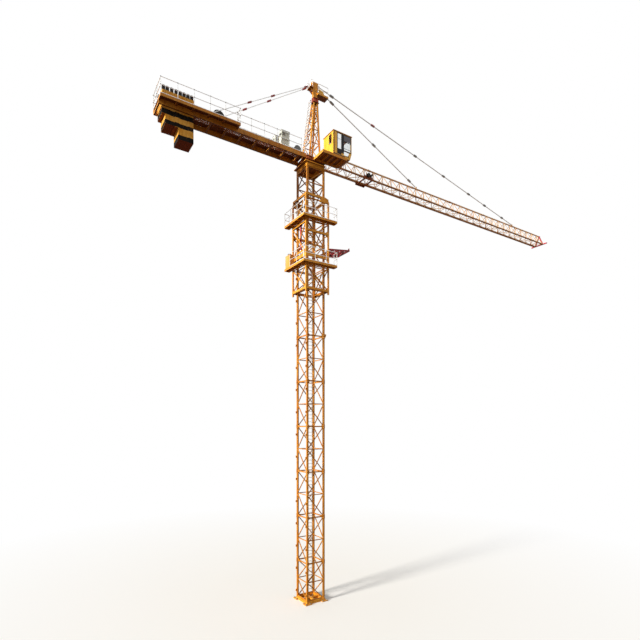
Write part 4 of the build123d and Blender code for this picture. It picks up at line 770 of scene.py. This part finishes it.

# %% [markdown]
# The two electrical cabinets are folded sheet steel with a rain cap, doors standing a few millimetres
# proud, louvres that let the heat out, and slate-grey handles. The machine hood beside them has a rolled
# edge at each end and a row of slots over its back.

# %% Cabinets and hood
cabinet_height = 0.6
doors, louvres = [], []
for low_x, high_x, near_y, far_y in ((-1.57, -1.21, -0.346, -0.106), (-1.63, -1.39, 0.106, 0.346)):
    corner = np.array((low_x, near_y, deck_top))
    wide, deep, tall = high_x - low_x, far_y - near_y, cabinet_height
    leaf = wide / 2
    doors.append(block(corner + (-0.012, -0.006, tall), corner + (wide + 0.012, deep + 0.006, tall + 0.018)))
    doors.append(block(corner + (-0.006, 0.012, 0.03), corner + (0, deep - 0.012, tall - 0.02), 0.002))
    for start in (0.006, leaf + 0.006):
        doors.append(block(corner + (start, -0.006, 0.03),
                           corner + (start + leaf - 0.012, 0, tall - 0.02), 0.002))
    slats = corner + grid((0,), (0,), 0.4 + 0.018 * np.arange(7))
    louvres.append(block(slats + (-0.012, 0.03, 0), slats + (-0.005, deep - 0.03, 0.008), 0.002))
    louvres.append(block(slats + (0.03, -0.01, 0), slats + (leaf - 0.03, -0.005, 0.008), 0.002))
    louvres.append(block(corner + (-0.016, deep - 0.05, 0.25), corner + (-0.005, deep - 0.035, 0.33), 0.003))
make_piece("cabinet_doors", doors, cabinet_enamel)
make_piece("cabinet_louvres", louvres, slate_enamel)

hood_low, hood_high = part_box("machine_hood")
hood_x, hood_z = -0.82, deck_top + 0.06
rim_radius, slot_radius = 0.157, 0.151
rim_turn = np.linspace(0, pi, 25)
rim = np.column_stack([hood_x + rim_radius * np.cos(rim_turn), hood_z + rim_radius * np.sin(rim_turn)])
rim = np.concatenate([[(hood_x + rim_radius, deck_top)], rim, [(hood_x - rim_radius, deck_top)]])
hood_shells = [plate(rim, y, y + 0.01, "Y") for y in (hood_low[1] - 0.006, hood_high[1] - 0.004)]
slot_turn = np.linspace(radians(35), radians(145), 9)
slots = np.column_stack([hood_x + slot_radius * np.cos(slot_turn), np.full(9, -0.19),
                         hood_z + slot_radius * np.sin(slot_turn)])
hood_shells.append(rod(slots - (0, 0.1, 0), slots + (0, 0.1, 0), 0.004, 6))
make_piece("hood_trim", hood_shells, slate_enamel)

# %% [markdown]
# The cab is yellow, with a dark frame round its side windows. The door has a narrow pane, pale with a
# mirror sheet of painted reflection, over a dark kick panel. A wide dark post parts it from the large
# window, which a mullion, a sill bar and a dark violet sun strip divide. Black rubber runs along the door's
# seam, and a brown gutter goes round the roof. All of it is thin strip, a few millimetres proud of the shell.

# %% Cab trim
cab_rear = 0.435
cab_front = 1.36
cab_near = -1.1
cab_far = -0.365
cab_top = 19.5805
pane_top = cab_top - 0.05


def near_strips(rows, proud):
    """Flat strips on the cab's near face, each from (low x, low z) to (high x, high z)."""
    low, high = np.split(np.asarray(rows, float), 2, axis=1)
    return block(np.insert(low, 1, cab_near - proud, axis=1), np.insert(high, 1, cab_near, axis=1), 0.0015)


door_start, door_end = 0.64, 0.825
main_start, main_end = 0.965, 1.305
dark_rows = [(door_start - 0.022, pane_top, main_end + 0.022, pane_top + 0.026),
             (door_start - 0.022, 18.85, door_start, pane_top), (door_start, 18.85, door_end, 18.905),
             (door_start, 19.314, door_end, 19.324), (door_end, 18.77, main_start, pane_top),
             (main_end, 18.92, main_end + 0.022, pane_top), (main_start, 19.262, main_end, 19.284),
             (main_start, 18.978, main_end, 18.996), (main_start, 18.8755, main_end + 0.022, 18.9155),
             (main_start, 18.69, 1.225, 18.7055)]
make_piece("cab_window_frames", [near_strips(dark_rows, 0.006)], black_rubber)
seam_rows = [(cab_rear + 0.008, 18.62, cab_rear + 0.045, cab_top - 0.012),
             (cab_rear + 0.045, 18.62, 1.0, 18.665)]
rear_seam = block((cab_rear - 0.004, cab_near + 0.01, 18.62),
                  (cab_rear, cab_near + 0.03, cab_top - 0.02), 0.001)
make_piece("cab_seams", [near_strips(seam_rows, 0.004), rear_seam], black_rubber)
for name, row, proud, material, slot in (
        ("cab_kick_panel", (door_start - 0.022, 18.69, door_end, 18.85), 0.0055, black_rubber, "black_steel"),
        ("cab_door_skin", (cab_rear + 0.06, 18.685, door_start - 0.024, cab_top - 0.02), 0.005,
         yellow_enamel, "cab_paint"),
        # The door's pale mirror sheet is painted reflection of the bright sky seen through the pane.
        ("cab_door_reflection_sheet", (door_start + 0.004, 18.91, door_end - 0.004, pane_top - 0.004), 0.002,
         painted_pane_reflection, "window_glass"),
        ("cab_sun_strip", (main_start, 19.30, main_end, pane_top), 0.002, sun_strip, "window_glass")):
    make_piece(name, [near_strips([row], proud)], material)

out, lip = 0.02, 0.008
strips = [(cab_rear - out, cab_front + out, *sides)
          for sides in ((cab_near - out, cab_near - lip), (cab_far + lip, cab_far + out))]
strips += [(*ends, cab_near - lip, cab_far + lip)
           for ends in ((cab_rear - out, cab_rear - lip), (cab_front + lip, cab_front + out))]
gutter = [block((low_x, low_y, cab_top - 0.004), (high_x, high_y, cab_top + 0.016), 0.003)
          for low_x, high_x, low_y, high_y in strips]
make_piece("cab_gutter", gutter, brown_enamel)

slot_frame = [block((cab_rear - 0.006, y, 19.12), (cab_rear, y + 0.014, 19.52), 0.002)
              for y in (-0.964, -0.78)]
slot_frame += [block((cab_rear - 0.006, -0.95, z), (cab_rear, -0.78, z + 0.012), 0.002)
               for z in (19.123, 19.502)]
make_piece("cab_rear_frame", slot_frame, black_rubber)

# %% [markdown]
# On the trolley, two reels take up the rope and the cable. A reel is a drum between thin flanges with a
# bearing cap. The small wheels that carry the trolley have bright caps on their axles.

# %% Trolley
reel_face = 0.3315
axle_level = 18.7228


def reel(radius, place):
    """A flanged drum on the near cheek, wound with wire: the flanges stand at both ends of the drum."""
    turns = np.linspace(0.016, 0.092, 61)
    wound = 0.76 * radius + 0.004 * np.abs(np.sin(pi * 10 * (turns - 0.016) / 0.076))
    drum = turned([(-turns[0], 0), *zip(-turns, wound), (-turns[-1], 0)], place, "Y")
    flanges = [turned(ring_profile(-low, -low - 0.008, radius), place, "Y", 32) for low in (0.006, 0.094)]
    hub = turned(ring_profile(0, -0.11, 0.2 * radius), place, "Y", 16)
    return drum, [*flanges, hub]


big_drum, big_flanges = reel(0.085, (2.855, -reel_face, axle_level + 0.05))
small_drum, small_flanges = reel(0.05, (3.03, -reel_face, axle_level + 0.075))
flanges = make_piece("trolley_reel_flanges", big_flanges + small_flanges, black_enamel,
                     "trolley")
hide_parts("trolley_reels")
make_piece("trolley_reel_wire", [big_drum, small_drum], greased_wire, "trolley")
cap_profile = np.array([(0, 0), (0, 0.018), (0.008, 0.018), (0.012, 0.012), (0.012, 0)])
axle_caps = [turned(cap_profile * (side, 1), grid((2.7, 3.1), (side * reel_face,), (axle_level,)), "Y", 12)
             for side in (-1, 1)]
make_piece("trolley_axle_caps", axle_caps, bright_bolt, "trolley")

# %% [markdown]
# The climbing cage is bolted at its corners with gusset plates, at the foot ring, the heavy work ring and
# the top ring. Its ram has raised gland rings. The pump station has doors and a motor on its lid, and the
# rails that a new mast section slides in on end in small upturned stops.

# %% Climbing cage
cage_half = 0.545
cage_inner = cage_half - 0.03
corner_plate = np.array([(0, 0), (0.11, 0), (0, 0.11)])
gussets = []
for level, up in ((13.14, 1), (14.41, -1), (14.54, 1), (15.431, -1), (15.521, 1)):
    for direction in (-1, 1):
        gusset = plate(corner_plate * (direction, up), -0.006, 0.006, "Y")
        gussets.append(copied(gusset, grid((-direction * cage_inner,), (-cage_half, cage_half), (level,))))
make_piece("cage_gussets", gussets, orange_enamel, "cage")

glands = [turned(ring_profile(level, level + 0.03, 0.047, 0.0405), (ram_x, 0, 0), closed=True)
          for level in (14.792, 14.85, 15.74)]
make_piece("ram_glands", glands, dark_crimson_enamel, "cage")

pump_low, pump_high = np.array(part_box("pump_station"))
wide, deep, tall = pump_high - pump_low
pump_doors = [block(pump_low + (0.012, -0.005, share * tall),
                    pump_low + (wide - 0.012, 0, (share + 0.44) * tall), 0.002) for share in (0.04, 0.52)]
pump_doors.append(block(pump_low + (-0.004, -0.008, tall), pump_high + (0.004, 0, 0.012)))
make_piece("pump_doors", pump_doors, ochre_enamel, "cage")
lid_middle = pump_low + (wide / 2, deep / 2, tall + 0.012)
pump_motor = [turned([(0, 0), (0, 0.055), (0.09, 0.055), (0.1, 0.045), (0.1, 0)], lid_middle + (0, 0.06, 0)),
              turned([(0, 0), (0, 0.022), (0.045, 0.022), (0.05, 0.016), (0.05, 0)],
                     lid_middle - (0, 0.1, 0))]
make_piece("pump_motor", pump_motor, slate_enamel, "cage")

stop_foot = np.array(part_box("introduction_frame")[1]) * (1, 0, 1) - (0.03, 0, 0.01)
stops = [block(stop_foot + (-0.02, y - 0.028, -0.02), stop_foot + (0.02, y + 0.028, 0.075))
         for y in (-0.41, 0.41)]
make_piece("introduction_stops", stops, crimson_enamel, "cage")

# %% [markdown]
# The floor is a wide pale disc. Close to the crane it is a matt surface that holds the shadow, and far
# out it fades into the white of the background, so there is no hard horizon. The lamps are plain: one
# broad sun from the left and a little above, as in the picture, and an even light from all round that is
# whiter above than below. The eye sees floor and sky as white, but the light from below is brown, as it is
# over bare ground, so the undersides of the steel stay dark.

# %% Floor and light
floor_radius = 160
fade_start = 4
fade_end = 22
sun_direction = (0.95, 0.07, -0.30)
sun_strength = 6.0
sky_strength = 0.46

floor_mesh = bpy.data.meshes.new("floor")
floor_mesh.from_pydata(circle(floor_radius, -0.001, 96).tolist(), [], [list(range(96))])
floor = bpy.data.objects.new("floor", floor_mesh)
bpy.context.collection.objects.link(floor)

white = (1, 1, 1, 1)
floor_paint, tree, place = blank_material("pale_floor")
flat = add_node(tree, "VectorMath", {"operation": "MULTIPLY"}, {0: place, 1: (1, 1, 0)}).outputs[0]
distance = add_node(tree, "VectorMath", {"operation": "LENGTH"}, {0: flat}).outputs["Value"]
faded_floor = between(tree, distance, fade_start, fade_end)
matt, dull = (add_node(tree, "BsdfDiffuse", inputs={"Color": linear(colour)}).outputs["BSDF"]
              for colour in ("#F8F7F5", "#8C7B6C"))
glow = add_node(tree, "Emission", inputs={"Color": white, "Strength": 1.0}).outputs[0]
seen_floor = add_node(tree, "MixShader", inputs={0: faded_floor, 1: matt, 2: glow}).outputs[0]
is_camera = add_node(tree, "LightPath").outputs["Is Camera Ray"]
close_material(tree, add_node(tree, "MixShader", inputs={0: is_camera, 1: dull, 2: seen_floor}).outputs[0])
floor_mesh.materials.append(floor_paint)

world = bpy.data.worlds.new("world")
bpy.context.scene.world = world
world.use_nodes = True
tree = world.node_tree
tree.nodes.clear()
upwards = add_node(tree, "SeparateXYZ", inputs={
    "Vector": add_node(tree, "TexCoord").outputs["Generated"]}).outputs["Z"]
sky = colour_ramp(tree, between(tree, upwards, -1, 1), [
    (0.30, "#6B5748"), (0.52, "#D8D6D4"), (0.9, "#FFFFFF")])
sky_light = add_node(tree, "Background", inputs={"Color": sky, "Strength": sky_strength}).outputs[0]
white_light = add_node(tree, "Background", inputs={"Color": white, "Strength": 1.0}).outputs[0]
rays = add_node(tree, "LightPath").outputs
seen = arithmetic(tree, "MAXIMUM", rays["Is Camera Ray"], rays["Is Transmission Ray"])
seen = arithmetic(tree, "MAXIMUM", seen, rays["Is Glossy Ray"])
backdrop = add_node(tree, "MixShader", inputs={0: seen, 1: sky_light, 2: white_light}).outputs[0]
add_node(tree, "OutputWorld", inputs={"Surface": backdrop})

sun_data = bpy.data.lights.new("sun", "SUN")
sun_data.energy = sun_strength
sun_data.angle = radians(10)
sun_data.color = (1.0, 0.96, 0.88)
sun = bpy.data.objects.new("sun", sun_data)
sun.rotation_mode = "QUATERNION"
direction = np.array(sun_direction) / np.linalg.norm(sun_direction)
sun.rotation_quaternion = Vector(direction.tolist()).to_track_quat("-Z", "Y")
bpy.context.collection.objects.link(sun)
print("sun from", [round(-part, 2) for part in direction])
